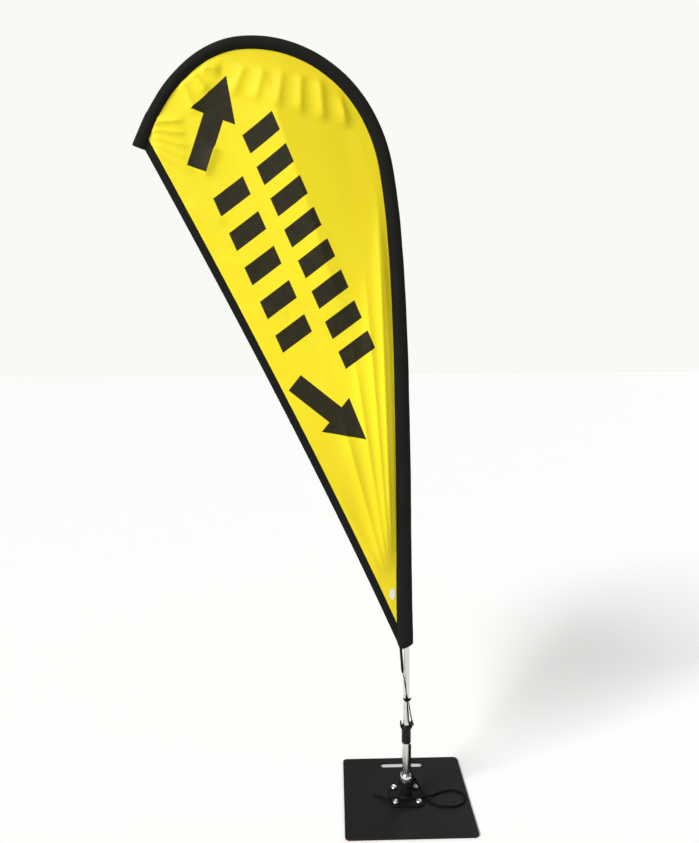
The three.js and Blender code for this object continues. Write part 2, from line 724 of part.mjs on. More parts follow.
function buildTether() {
  const wrapRadius = post.radius + gap + tether.radius;
  const wrap = new THREE.TorusGeometry(wrapRadius, tether.radius, 6, 24).translate(0, 0, tetherWrap.z);
  const ball = new THREE.SphereGeometry(1, 9, 6).scale(...tetherWrap.knotRadii);
  ball.translate(0, wrapRadius + 3, tetherWrap.z);
  ball.rotateZ(THREE.MathUtils.degToRad(tetherWrap.knotDegrees));
  addPiece('tether_knot', join(wrap, ball), 'cordBlack');

  const route = new THREE.CatmullRomCurve3(vectors(tetherPoints), false, 'centripetal');
  addPiece('tether_cord', roundTube(route, tether.radius, tether.steps, tether.sides), 'cordBlack');

  const [start, end] = vectors([tetherPoints.at(-1), tetherTip.end]);
  const along = end.clone().sub(start).normalize();
  start.addScaledVector(along, tetherTip.fromCord);
  const across = new THREE.Vector3(0, 0, 1).cross(along).normalize();
  const up = along.clone().cross(across);
  const rings = [0, 0.5, 0.85, 1].map((share, i) => {
    const radius = [tether.radius, tether.radius * 0.85, tether.radius * 0.6, tetherTip.endRadius][i];
    return Array.from({ length: 10 }, (_, j) => {
      const angle = (2 * Math.PI * j) / 10;
      return start
        .clone()
        .addScaledVector(along, share * tetherTip.length)
        .addScaledVector(across, radius * Math.cos(angle))
        .addScaledVector(up, radius * Math.sin(angle));
    });
  });
  addPiece('tether_tip', loft(rings), 'blackPlastic');
}

buildPlate();
buildFoot();
buildSpindle();
buildPole();
buildSleeve();
buildTipPocket();
buildPanel();
buildTension();
buildTether();

export default flag;
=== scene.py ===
import json
from math import acos, copysign, cos, exp, hypot, pi, radians, sin, sqrt

import bmesh
import bpy
from mathutils import Matrix, Vector, geometry, noise


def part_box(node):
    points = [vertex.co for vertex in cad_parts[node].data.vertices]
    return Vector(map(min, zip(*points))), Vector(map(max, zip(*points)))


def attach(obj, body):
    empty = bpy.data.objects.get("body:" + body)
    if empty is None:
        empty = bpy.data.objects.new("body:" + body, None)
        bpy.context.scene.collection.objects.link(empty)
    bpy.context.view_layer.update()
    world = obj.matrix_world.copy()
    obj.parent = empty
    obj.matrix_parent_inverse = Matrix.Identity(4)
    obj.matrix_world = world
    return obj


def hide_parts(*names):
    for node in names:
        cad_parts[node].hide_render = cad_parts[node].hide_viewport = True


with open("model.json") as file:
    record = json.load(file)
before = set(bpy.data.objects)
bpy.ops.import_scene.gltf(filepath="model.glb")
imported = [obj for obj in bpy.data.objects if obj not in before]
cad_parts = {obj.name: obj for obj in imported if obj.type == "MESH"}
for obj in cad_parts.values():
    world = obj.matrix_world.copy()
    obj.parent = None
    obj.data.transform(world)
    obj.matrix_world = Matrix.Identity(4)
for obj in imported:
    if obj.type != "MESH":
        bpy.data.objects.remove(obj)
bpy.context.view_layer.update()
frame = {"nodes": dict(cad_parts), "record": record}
nodes = frame["nodes"]
mm = 0.001
fullTurn = 2 * pi


def millimetres(points):
    return [Vector(point) * mm for point in points]


def mixed(start, end, share):
    return start + (end - start) * share


# 0 below low, 1 above high, and smooth between them.
def eased(value, low, high):
    share = min(max((value - low) / (high - low), 0), 1)
    return share * share * (3 - 2 * share)


# A line resampled evenly, which carries a side direction along itself without twist.
class Line:
    def __init__(self, points, steps, side=(0, 1, 0)):
        lengths = [0]
        for before, after in zip(points, points[1:]):
            lengths.append(lengths[-1] + (after - before).length)
        self.length = lengths[-1]
        self.steps = steps
        self.points = []
        place = 0
        for step in range(steps + 1):
            goal = self.length * step / steps
            while place < len(points) - 2 and lengths[place + 1] < goal:
                place += 1
            share = (goal - lengths[place]) / (lengths[place + 1] - lengths[place])
            self.points.append(points[place].lerp(points[place + 1], share))
        self.tangents = []
        self.sides = []
        side = Vector(side)
        for step in range(steps + 1):
            ahead = self.points[min(step + 1, steps)]
            behind = self.points[max(step - 1, 0)]
            tangent = (ahead - behind).normalized()
            side = (side - tangent * side.dot(tangent)).normalized()
            self.tangents.append(tangent)
            self.sides.append(side)

    # The point, the way along and the side direction at a share of the length.
    def at(self, share):
        spot = min(max(share, 0), 1) * self.steps
        index = min(int(spot), self.steps - 1)
        rest = spot - index
        point = self.points[index].lerp(self.points[index + 1], rest)
        tangent = self.tangents[index].lerp(self.tangents[index + 1], rest).normalized()
        side = self.sides[index].lerp(self.sides[index + 1], rest).normalized()
        return point, tangent, side


# A smooth curve through all of the points.
def smoothRoute(points, perSpan=8):
    first = points[0] * 2 - points[1]
    last = points[-1] * 2 - points[-2]
    padded = [first, *points, last]
    route = []
    for a, b, c, d in zip(padded, padded[1:], padded[2:], padded[3:]):
        t1 = sqrt((b - a).length)
        t2 = t1 + sqrt((c - b).length)
        t3 = t2 + sqrt((d - c).length)
        for step in range(perSpan):
            t = mixed(t1, t2, step / perSpan)
            ab = a.lerp(b, t / t1)
            bc = b.lerp(c, (t - t1) / (t2 - t1))
            cd = c.lerp(d, (t - t2) / (t3 - t2))
            abc = ab.lerp(bc, t / t2)
            bcd = bc.lerp(cd, (t - t1) / (t3 - t1))
            route.append(abc.lerp(bcd, (t - t1) / (t2 - t1)))
    route.append(points[-1])
    return route


# A line along a smooth curve through places in mm.
def routeLine(places, steps, side=(0, 1, 0)):
    return Line(smoothRoute(millimetres(places)), steps, side)


def addObject(name, data):
    made = bpy.data.objects.new(name, data)
    bpy.context.scene.collection.objects.link(made)
    return made


def newPiece(name, mesh, smoothAngle=35):
    data = bpy.data.meshes.new(name)
    mesh.to_mesh(data)
    mesh.free()
    data.shade_smooth()
    data.set_sharp_from_angle(angle=radians(smoothAngle))
    return addObject(name, data)


# Welds doubled corners and turns every face outward.
def outward(mesh, mergeWithin=1e-7):
    bmesh.ops.remove_doubles(mesh, verts=mesh.verts, dist=mergeWithin)
    bmesh.ops.dissolve_degenerate(mesh, edges=mesh.edges, dist=mergeWithin)
    bmesh.ops.recalc_face_normals(mesh, faces=mesh.faces)


# Pushes faces out into a solid.
def pushFaces(mesh, faces, way):
    grown = bmesh.ops.extrude_face_region(mesh, geom=faces)
    raised = [item for item in grown["geom"] if isinstance(item, bmesh.types.BMVert)]
    bmesh.ops.translate(mesh, vec=way, verts=raised)


# A grid whose crossings are put in place one by one. UVs are in metres.
def gridMesh(along, around, place, uvSize):
    mesh = bmesh.new()
    uv = mesh.loops.layers.uv.new("UVMap")
    bmesh.ops.create_grid(mesh, x_segments=along, y_segments=around, size=0.5, calc_uvs=True)
    for face in mesh.faces:
        for loop in face.loops:
            spot = loop.vert.co
            loop[uv].uv = ((spot.x + 0.5) * uvSize[0], (spot.y + 0.5) * uvSize[1])
    for vert in mesh.verts:
        i = round((vert.co.x + 0.5) * along)
        j = round((vert.co.y + 0.5) * around)
        vert.co = place(i, j)
    return mesh


# A solid cord along a line, closed at both ends. taper gives its thickness at each share.
def cordMesh(line, radius, along, around, taper=None):
    ends = [(0, 0), (0, 0.8), (0.35 * radius / line.length, 1)]
    middle = [(i / along, 1) for i in range(1, along)]
    stations = ends + middle + [(1 - share, size) for share, size in reversed(ends)]

    def place(i, j):
        share, size = stations[i]
        point, tangent, side = line.at(share)
        angle = fullTurn * j / around
        up = tangent.cross(side)
        if taper:
            size *= taper(share)
        return point + (side * cos(angle) + up * sin(angle)) * radius * size

    mesh = gridMesh(len(stations) - 1, around, place, (line.length, fullTurn * radius))
    outward(mesh)
    return mesh


# A shape turned about an upright axis from an outline of (radius, height) in mm.
def turnedMesh(outline, steps, centre=(0, 0), closed=True):
    mesh = bmesh.new()
    verts = [mesh.verts.new((r * mm, 0, z * mm)) for r, z in outline]
    pairs = list(zip(verts, verts[1:]))
    if closed:
        pairs.append((verts[-1], verts[0]))
    edges = [mesh.edges.new(pair) for pair in pairs]
    bmesh.ops.spin(
        mesh, geom=verts + edges, cent=(0, 0, 0), axis=(0, 0, 1), angle=fullTurn, steps=steps, use_merge=True
    )
    outward(mesh)
    bmesh.ops.translate(mesh, vec=(centre[0] * mm, centre[1] * mm, 0), verts=mesh.verts)
    return mesh


squareCorners = [(-1, -1), (1, -1), (1, 1), (-1, 1)]


# A rectangle with round corners in the plane z, as one face.
def roundedFace(mesh, width, depth, radius, centre, z, segments):
    verts = [
        mesh.verts.new(((centre[0] + sx * width / 2) * mm, (centre[1] + sy * depth / 2) * mm, z * mm))
        for sx, sy in squareCorners
    ]
    mesh.faces.new(verts)
    bmesh.ops.bevel(
        mesh, geom=verts, offset=radius * mm, segments=segments, profile=0.5, affect="VERTICES", material=-1
    )


def addBevel(piece, width, segments=2, angle=40):
    bevel = piece.modifiers.new("Bevel", "BEVEL")
    bevel.width = width * mm
    bevel.segments = segments
    bevel.limit_method = "ANGLE"
    bevel.angle_limit = radians(angle)
    bevel.harden_normals = True


def addThickness(piece, thickness, offset=-1.0):
    solid = piece.modifiers.new("Thickness", "SOLIDIFY")
    solid.thickness = thickness * mm
    solid.offset = offset
    solid.use_even_offset = False


# The slot, the body that carries the piece, and the CAD node it stands for.
def dress(piece, slotName, body, replaced, finish=None):
    piece.data.materials.append(finish or finishes[slotName])
    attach(piece, body)
    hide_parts(replaced)


def addPiece(name, mesh, smoothAngle, slotName, body, replaced, finish=None):
    piece = newPiece(name, mesh, smoothAngle)
    dress(piece, slotName, body, replaced, finish)
    return piece


# One output of a finish's nodes. The operators add Math nodes after it.
class Value:
    def __init__(self, finish, socket):
        self.finish = finish
        self.socket = socket

    def math(self, operation, *others):
        values = dict(enumerate((self, *others)))
        return self.finish.node("ShaderNodeMath", {"operation": operation}, values)

    def flipped(self, operation, other):
        return self.finish.node("ShaderNodeMath", {"operation": operation}, {0: other, 1: self})

    def __add__(self, other):
        return self.math("ADD", other)

    __radd__ = __add__

    def __sub__(self, other):
        return self.math("SUBTRACT", other)

    def __rsub__(self, other):
        return self.flipped("SUBTRACT", other)

    def __mul__(self, other):
        return self.math("MULTIPLY", other)

    __rmul__ = __mul__

    def __truediv__(self, other):
        return self.math("DIVIDE", other)

    def __gt__(self, other):
        return self.math("GREATER_THAN", other)

    def __lt__(self, other):
        return self.math("LESS_THAN", other)

    def sized(self):
        return self.math("ABSOLUTE")

    def wave(self):
        return self.math("SINE")

    # 0 to 1 as the value goes from low to high.
    def ramp(self, low, high):
        values = {"Value": self, "From Min": low, "From Max": high}
        return self.finish.node("ShaderNodeMapRange", {"interpolation_type": "SMOOTHSTEP"}, values)


class Finish:
    def __init__(self, name, **sockets):
        self.material = bpy.data.materials.new(name)
        self.material.use_nodes = True
        self.tree = self.material.node_tree
        self.shader = self.tree.nodes["Principled BSDF"]
        self.set(**sockets)

    # Any node: its type, then its settings, then the values or links of its sockets.
    def node(self, kind, settings=None, values=None, output=0):
        made = self.tree.nodes.new(kind)
        for key, setting in (settings or {}).items():
            setattr(made, key, setting)
        for key, value in (values or {}).items():
            self.feed(made.inputs[key], value)
        return Value(self, made.outputs[output])

    def feed(self, socket, value):
        if isinstance(value, Value):
            self.tree.links.new(value.socket, socket)
        elif hasattr(value, "__len__") and len(value) == 3 and socket.type == "RGBA":
            socket.default_value = (*value, 1)
        else:
            socket.default_value = value

    # The shader's own sockets, by name with _ for a space.
    def set(self, **sockets):
        for name, value in sockets.items():
            self.feed(self.shader.inputs[name.replace("_", " ")], value)

    def spot(self, stretch=(1, 1, 1), uv=False):
        source = self.node("ShaderNodeTexCoord", output="UV" if uv else "Object")
        if stretch == (1, 1, 1):
            return source
        return self.node("ShaderNodeMapping", None, {"Vector": source, "Scale": stretch})

    def parts(self, vector):
        split = self.tree.nodes.new("ShaderNodeSeparateXYZ")
        self.feed(split.inputs[0], vector)
        return [Value(self, output) for output in split.outputs]

    def clouds(self, scale, detail, stretch=(1, 1, 1)):
        values = {"Vector": self.spot(stretch), "Scale": scale, "Detail": detail}
        return self.node("ShaderNodeTexNoise", None, values)

    def blend(self, share, first, second):
        return self.node("ShaderNodeMix", {"data_type": "RGBA"}, {0: share, 6: first, 7: second}, 2)

    # The surface: its colour, its roughness, and a relief's height, depth in metres and strength.
    def cover(self, color, roughness, height, depth, strength):
        values = {"Height": height, "Distance": depth, "Strength": strength}
        relief = self.node("ShaderNodeBump", None, values)
        self.set(Base_Color=color, Roughness=roughness, Normal=relief)
        return self.material


# The place is in metres, the angles in degrees, the lens and the sensor in mm.
cameraFacts = {
    "place": (-0.22115, -2.1005, 1.46266),
    "turn": -1.3,
    "tiltDown": 6.467,
    "roll": -0.4274,
    "lens": 29.893,
    "sensor": 36,
}


def buildCamera():
    turn, tilt, roll = [radians(cameraFacts[key]) for key in ("turn", "tiltDown", "roll")]
    turned = Matrix.Rotation(turn, 3, "Z")
    right = turned @ Vector((1, 0, 0))
    forward = turned @ Vector((0, cos(tilt), -sin(tilt)))
    up = right.cross(forward)
    rolledRight = right * cos(roll) + up * sin(roll)
    rolledUp = up * cos(roll) - right * sin(roll)
    matrix = Matrix((rolledRight, rolledUp, -forward)).transposed().to_4x4()
    matrix.translation = Vector(cameraFacts["place"])
    data = bpy.data.cameras.new("camera")
    data.lens = cameraFacts["lens"]
    data.sensor_width = cameraFacts["sensor"]
    camera = addObject("camera", data)
    camera.matrix_world = matrix
    bpy.context.scene.camera = camera


buildCamera()
print("camera ready")


# The strands' width and lay are in metres.
def braidedCord(name, color, strandWidth, strandLay):
    finish = Finish(name, Specular_IOR_Level=0.12)
    u, v, _ = finish.parts(finish.spot(uv=True))
    stripes = fullTurn / strandWidth
    lay = fullTurn / strandLay
    one = (u * lay + v * stripes).wave()
    other = (u * lay - v * stripes).wave()
    strands = one.math("MAXIMUM", other)
    fuzz = finish.clouds(1800, 3)
    worn = finish.blend(strands * 0.5 + fuzz * 0.5, color, tuple(c * 3.2 for c in color))
    return finish.cover(worn, 0.62 + fuzz * 0.3, strands * 0.8 + fuzz * 0.3, 0.0004, 0.9)


cordFinish = braidedCord("braidedCord", (0.003, 0.003, 0.003), 0.0019, 0.0042)

tether = {
    "radius": 3,
    "route": [
        (11.5, -10.9, 191.5), (11.5, -10.9, 160), (11.5, -10.9, 130), (12, -11.2, 108), (16, -11.8, 92),
        (21.4, -10, 80), (25.4, -2, 71), (29.2, 8, 64), (33.5, 15, 52), (40, 16, 36), (51, 8, 20),
        (61, -3, 11.5), (66, -19, 9.4), (75, -34, 9.3), (90, -46, 9.3), (110, -54, 9.3), (133, -57, 9.3),
        (156, -53, 9.3),
        (176, -41, 9.3), (188, -22, 9.3), (187, -1, 9.3), (174, 16, 9.3), (152, 24, 9.3), (126, 20.5, 9.3),
        (103, 10.5, 9.3), (84, -2.5, 11.5), (67, -13.5, 16.3), (50, -19, 17.6), (34, -19.5, 16.4),
        (18, -23, 16), (0, -25.5, 16), (-18, -23.5, 16), (-35, -19.5, 16.2), (-49, -18.5, 16.8),
        (-58, -17, 15), (-66, -13, 10.8), (-75, -7, 9.3), (-84, 0, 9.3),
    ],
    "tipEnd": (-104, 20, 8.2),
    "tipShape": [
        (0, 0), (0, 3.1), (0.02, 3.1), (0.3, 3.3), (0.6, 3.2), (0.85, 2.7), (0.97, 2.0), (1, 1.4), (1, 0),
    ],
    "wrapHeight": 55,
    "wrapPitch": 6.2,
    "wrapRadius": 22.3,
    "knotReach": (7, 5.5, 6),
    "knotDegrees": 20,
}


# An overhand knot's core: a cord that winds round itself inside the given reach.
def knotMesh(centre, reach, radius):
    along = 90
    points = []
    for step in range(121):
        t = fullTurn * step / 120
        x = (sin(t) + 2 * sin(2 * t)) / 3
        z = (cos(t) - 2 * cos(2 * t)) / 3
        y = -sin(3 * t)
        points.append(Vector((x * reach[0], y * reach[1] * 0.5, z * reach[2])) * mm + Vector(centre) * mm)
    return cordMesh(Line(points, along, (0.3, 1, 0.2)), radius * mm, along, 10)


def joinMeshes(*meshes):
    first = meshes[0]
    for other in meshes[1:]:
        data = bpy.data.meshes.new("joining")
        other.to_mesh(data)
        other.free()
        first.from_mesh(data)
        bpy.data.meshes.remove(data)
    return first


def buildTether():
    radius = tether["radius"]
    line = routeLine(tether["route"], 280, (1, 0, 0))
    mesh = cordMesh(line, radius * mm, 270, 12)
    cord = addPiece("tetherCord", mesh, 60, "cord", "foot", "tether_cord", cordFinish)

    start = Vector(tether["route"][-1])
    end = Vector(tether["tipEnd"])
    tipShape = tether["tipShape"]
    tipLine = Line([start * mm, end * mm], 10, (0, 0, 1))

    def placeTip(i, j):
        share, size = tipShape[i]
        point, along, side = tipLine.at(share)
        angle = fullTurn * j / 20
        return point + (side * cos(angle) + along.cross(side) * sin(angle)) * size * mm

    tipMesh = gridMesh(len(tipShape) - 1, 20, placeTip, (tipLine.length, 0.02))
    outward(tipMesh)
    tip = newPiece("tetherTip", tipMesh, 50)

    middle = tether["wrapHeight"]
    knotAngle = radians(tether["knotDegrees"])
    wrapPoints = []
    for turn in range(2):
        turnHeight = middle + tether["wrapPitch"] * (turn - 0.5)
        for step in range(49):
            angle = knotAngle + fullTurn * step / 48
            height = turnHeight + 0.7 * sin(angle * 2 + turn)
            spot = Vector((cos(angle), sin(angle), 0)) * tether["wrapRadius"]
            wrapPoints.append((spot + Vector((0, 0, height))) * mm)
    wraps = cordMesh(Line(wrapPoints, 150, (0, 0, 1)), radius * mm, 140, 12)
    knotOut = tether["wrapRadius"] + radius
    knotCentre = (knotOut * cos(knotAngle), knotOut * sin(knotAngle), middle)
    knot = knotMesh(knotCentre, tether["knotReach"], radius * 0.85)
    addPiece("tetherKnot", joinMeshes(wraps, knot), 60, "cord", "foot", "tether_knot", cordFinish)
    return cord, tip, line


tetherCord, tetherTip, tetherLine = buildTether()
tuple(tetherLine.points[0])
[tuple(point) for point in tetherLine.points[::5]]
print("tether ready", round(tetherLine.length, 3))


def powderCoat(name, color, lighter, scuffs):
    finish = Finish(name, Specular_IOR_Level=0.2)
    pebbles = finish.clouds(850, 2)
    patches = finish.clouds(9, 4)
    scratches = finish.clouds(60, 5, (1, 7, 1)).ramp(0.66, 0.78)
    dust = finish.clouds(240, 4).ramp(0.6, 0.75)
    shade = finish.blend(patches, color, lighter)
    worn = finish.blend((scratches * 0.6 + dust * 0.4) * scuffs, shade, (0.11, 0.11, 0.105))
    roughness = 0.44 + patches * 0.16 + scratches * 0.12
    return finish.cover(worn, roughness, pebbles + scratches * 0.4, 0.00035, 0.45)


def platedChrome(name):
    finish = Finish(name, Metallic=1.0)
    smudges = finish.clouds(28, 4)
    lines = finish.clouds(240, 2, (1, 1, 6))
    color = finish.blend(smudges, (0.86, 0.86, 0.87), (0.74, 0.745, 0.76))
    return finish.cover(color, 0.05 + smudges.ramp(0.45, 0.75) * 0.1, lines, 0.00004, 0.5)


def drawnMetal(name, color, darker, roughness):
    finish = Finish(name, Metallic=1.0)
    lines = finish.clouds(1, 3, (1500, 1500, 12))
    patches = finish.clouds(14, 3)
    shade = finish.blend(lines * 0.6 + patches * 0.4, color, darker)
    return finish.cover(shade, roughness + patches * 0.1 + lines * 0.06, lines, 0.00005, 0.5)


def moulded(name, color, lighter, roughness, grain):
    finish = Finish(name, Specular_IOR_Level=0.22)
    skin = finish.clouds(grain, 3)
    patches = finish.clouds(30, 3)
    shade = finish.blend(patches, color, lighter)
    return finish.cover(shade, roughness + patches * 0.12, skin, 0.0001, 0.6)


# A plain weave on UVs in metres, with lint and a faint unevenness from wear.
def wovenCloth(name, color, lighter, pitch, lint):
    finish = Finish(name, Specular_IOR_Level=0.12, Sheen_Weight=0.03, Sheen_Roughness=0.5)
    u, v, _ = finish.parts(finish.spot(uv=True))
    warp = (u * (fullTurn / pitch)).wave()
    weft = (v * (fullTurn / pitch)).wave()
    weave = (warp * weft) * 0.5 + 0.5
    patches = finish.clouds(22, 4)
    fibres = finish.clouds(700, 4).ramp(0.64, 0.76)
    base = finish.blend(weave * 0.45 + patches * 0.55, color, lighter)
    shade = finish.blend(fibres * lint, base, (0.09, 0.09, 0.088))
    return finish.cover(shade, 0.7 + weave * 0.14, weave + patches * 0.5, 0.00022, 0.7)


def twillBand(name, color, lighter, pitch):
    finish = Finish(name, Specular_IOR_Level=0.12, Sheen_Weight=0.03)
    u, v, _ = finish.parts(finish.spot(uv=True))
    ribs = (u * (fullTurn / pitch) + v * (fullTurn / pitch * 0.8)).wave() * 0.5 + 0.5
    threads = (v * (fullTurn / (pitch * 0.7))).wave() * 0.5 + 0.5
    fuzz = finish.clouds(900, 3)
    shade = finish.blend(ribs * 0.6 + fuzz * 0.4, color, lighter)
    return finish.cover(shade, 0.66 + fuzz * 0.2, ribs + threads * 0.4 + fuzz * 0.3, 0.0004, 0.8)


# Places are (x, z) on the flag in metres. Both rows and both arrows are plain marks.
marks = {
    "rowDirection": (0.3985, -0.9172),
    "rows": [
        {"first": (-0.421, 2.062), "count": 8, "pitch": 0.0969},
        {"first": (-0.510, 1.886), "count": 5, "pitch": 0.1081},
    ],
    "blockWidth": 0.055,
    "blockHeight": 0.104,
    "slant": 0.22,
    "arrows": [
        {"tail": (-0.609, 1.964), "tip": (-0.518, 2.219)},
        {"tail": (-0.337, 1.343), "tip": (-0.124, 1.171)},
    ],
    "shaftHalf": 0.029,
    "headHalf": 0.066,
    "headLength": 0.118,
    "inkEdge": 0.0012,
}


# Where a point lies from a start: how far along a direction, and how far to its side.
def alongAndAcross(x, z, start, direction):
    fromX = x - start[0]
    fromZ = z - start[1]
    along = fromX * direction[0] + fromZ * direction[1]
    across = fromZ * direction[0] - fromX * direction[1]
    return along, across


def inkWithin(half, distance):
    return (distance.sized() - half).ramp(marks["inkEdge"], 0)


def rowOfBlocks(x, z, row):
    along, across = alongAndAcross(x, z, row["first"], marks["rowDirection"])
    cell = along / row["pitch"] + 0.5
    slanted = (cell + across * (marks["slant"] / row["pitch"])).math("FRACT") - 0.5
    inBlock = inkWithin(marks["blockWidth"] / 2, slanted * row["pitch"])
    inRow = (cell > 0) * (cell < row["count"])
    return inBlock * inRow * inkWithin(marks["blockHeight"] / 2, across)


def plainArrow(x, z, arrow):
    reach = Vector(arrow["tip"]) - Vector(arrow["tail"])
    direction = reach.normalized()
    along, across = alongAndAcross(x, z, arrow["tail"], direction)
    neck = reach.length - marks["headLength"]
    shaft = inkWithin(marks["shaftHalf"], across) * (along > 0) * (along < neck + 0.001)
    headWidth = (reach.length - along) * (marks["headHalf"] / marks["headLength"])
    head = (across.sized() - headWidth).ramp(marks["inkEdge"], 0) * (along > neck)
    return shaft.math("MAXIMUM", head)


def printedKnit(name):
    finish = Finish(name, Specular_IOR_Level=0.16)
    x, _, z = finish.parts(finish.spot())
    ink = 0
    for row in marks["rows"]:
        ink = rowOfBlocks(x, z, row) + ink
    for arrow in marks["arrows"]:
        ink = ink.math("MAXIMUM", plainArrow(x, z, arrow))
    wales = (x * (fullTurn / 0.0011)).wave() * 0.5 + 0.5
    courses = (z * (fullTurn / 0.0013)).wave() * 0.5 + 0.5
    knit = wales * courses
    patches = finish.clouds(7, 4)
    fine = finish.clouds(60, 5)
    yellow = finish.blend(patches * 0.6 + fine * 0.4, (0.94, 0.80, 0.026), (0.88, 0.72, 0.014))
    # Painted shade: the yellow is darkened towards the sleeve and low down, where the light falls off. depth
    # is the share of this painted shade, not a dye depth.
    paintedShadeFromHem = ((x + 0.79) * 0.891 + (z - 2.02) * 0.453).ramp(0.28, 0.56)
    depth = (paintedShadeFromHem + z.ramp(1.35, 0.9)).math("MINIMUM", 1)
    paintedShadeYellow = finish.blend(depth, yellow, (0.77, 0.62, 0.013))
    threads = finish.blend(knit * 0.5, paintedShadeYellow, (0.76, 0.59, 0.008))
    soaked = finish.blend(fine * 0.5 + knit * 0.3, (0.0055, 0.005, 0.0045), (0.011, 0.010, 0.009))
    printed = finish.blend(ink * (0.97 + fine * 0.03), threads, soaked)
    return finish.cover(printed, 0.46 + fine * 0.1 + ink * 0.12, knit + fine * 1.4, 0.0002, 0.6)


def plainLabel(name):
    finish = Finish(name, Specular_IOR_Level=0.3)
    fibres = finish.clouds(500, 4)
    stains = finish.clouds(60, 3)
    shade = finish.blend(fibres * 0.5 + stains * 0.5, (0.78, 0.78, 0.74), (0.6, 0.6, 0.55))
    return finish.cover(shade, 0.5 + fibres * 0.2, fibres, 0.0001, 0.5)


finishes = {
    "powder_black": powderCoat("powderBlack", (0.0055, 0.0058, 0.0062), (0.0095, 0.0098, 0.0102), 0.35),
    "post_black": powderCoat("postBlack", (0.0028, 0.0028, 0.003), (0.005, 0.005, 0.0052), 0.2),
    "chrome": platedChrome("platedChrome"),
    "bolt_steel": drawnMetal("boltSteel", (0.8, 0.8, 0.79), (0.66, 0.66, 0.65), 0.22),
    "socket_steel": drawnMetal("socketSteel", (0.74, 0.725, 0.70), (0.6, 0.59, 0.57), 0.15),
    "bearing_steel": drawnMetal("groundSteel", (0.46, 0.47, 0.48), (0.36, 0.37, 0.38), 0.26),
    "spacer_aluminium": drawnMetal("turnedAluminium", (0.62, 0.63, 0.63), (0.5, 0.51, 0.51), 0.3),
    "pole_aluminium": drawnMetal("poleAluminium", (0.78, 0.76, 0.73), (0.62, 0.6, 0.58), 0.16),
    "pole_fibreglass": moulded("poleFibreglass", (0.02, 0.02, 0.02), (0.045, 0.045, 0.043), 0.32, 500),
    "black_plastic": moulded("blackPlastic", (0.003, 0.003, 0.003), (0.006, 0.006, 0.0058), 0.42, 1600),
    "seal_rubber": moulded("sealRubber", (0.01, 0.01, 0.01), (0.02, 0.02, 0.019), 0.7, 900),
    "sleeve_fabric": wovenCloth(
        "sleeveCloth", (0.0042, 0.0044, 0.0038), (0.009, 0.0092, 0.008), 0.0011, 0.07
    ),
    "flag_fabric": printedKnit("printedKnit"),
    "webbing": twillBand("webbing", (0.0035, 0.0035, 0.0035), (0.011, 0.011, 0.011), 0.0016),
    "cord": cordFinish,
    "label": plainLabel("plainLabel"),
}

dress(tetherTip, "black_plastic", "foot", "tether_tip")

for part in frame["record"]["subparts"]:
    node = nodes[part["node"]]
    node.data.materials.clear()
    node.data.materials.append(finishes[part["material_slot"]])
print("finishes ready")


foot = {
    "plateSide": 400,
    "plateMiddle": (0, 12),
    "plateCorner": 14,
    "plateTop": 6,
    "slotMiddle": (0, 172),
    "slotSize": (144, 26),
    "flangeSide": 108,
    "flangeCorner": 17,
    "flange": (6.3, 12.3),
    "postRadius": 19,
    "postTop": 63,
    "bearingBore": 13.2,
    "bearingSeat": 24.7,
    "shaftBore": 11.2,
    "boreFloor": 10.3,
}
bolts = {
    "spacing": 73,
    "play": 0.3,
    "washer": (4.4, 12.5),
    "washerThickness": 1.5,
    "headRadius": 10,
    "rim": 1.2,
    "dome": 5.8,
    "hexMouth": 4.2,
    "hexRadius": 3.2,
}


def buildPlate():
    mesh = bmesh.new()
    side = foot["plateSide"]
    roundedFace(mesh, side, side, foot["plateCorner"], foot["plateMiddle"], 0, 10)
    length, width = foot["slotSize"]
    roundedFace(mesh, length, width, width / 2 - 0.01, foot["slotMiddle"], 0, 16)
    bmesh.ops.delete(mesh, geom=mesh.faces[:], context="FACES_ONLY")
    bmesh.ops.triangle_fill(mesh, edges=mesh.edges[:], use_beauty=True, use_dissolve=False)
    pushFaces(mesh, mesh.faces[:], (0, 0, foot["plateTop"] * mm))
    outward(mesh)
    plate = addPiece("footPlate", mesh, 30, "powder_black", "foot", "base_plate")
    addBevel(plate, 0.8, 3)


def buildPost():
    low, high = foot["flange"]
    mesh = bmesh.new()
    side = foot["flangeSide"]
    roundedFace(mesh, side, side, foot["flangeCorner"], (0, 0), low, 12)
    pushFaces(mesh, mesh.faces[:], (0, 0, (high - low) * mm))
    outward(mesh)
    radius = foot["postRadius"]
    top = foot["postTop"]
    bore = foot["bearingBore"]
    seat = foot["bearingSeat"]
    shaftBore = foot["shaftBore"]
    floor = foot["boreFloor"]
    beadFoot = high - 0.6  # where the weld bead starts, inside the flange
    outline = [
        (radius + 4.2, beadFoot), (radius + 4, high + 1.2), (radius + 2.8, high + 2.9),
        (radius + 1.2, high + 3.9), (radius, high + 4.6), (radius, top - 1.2), (radius - 0.4, top - 0.4),
        (radius - 1.2, top), (bore + 0.8, top), (bore, top - 0.8), (bore, seat), (shaftBore, seat),
        (shaftBore, floor), (0.01, floor), (0.01, beadFoot - 4),
    ]
    post = turnedMesh(outline, 72, closed=False)
    piece = addPiece("bearingPost", joinMeshes(mesh, post), 32, "post_black", "foot", "bearing_post")
    addBevel(piece, 0.7, 3, 50)


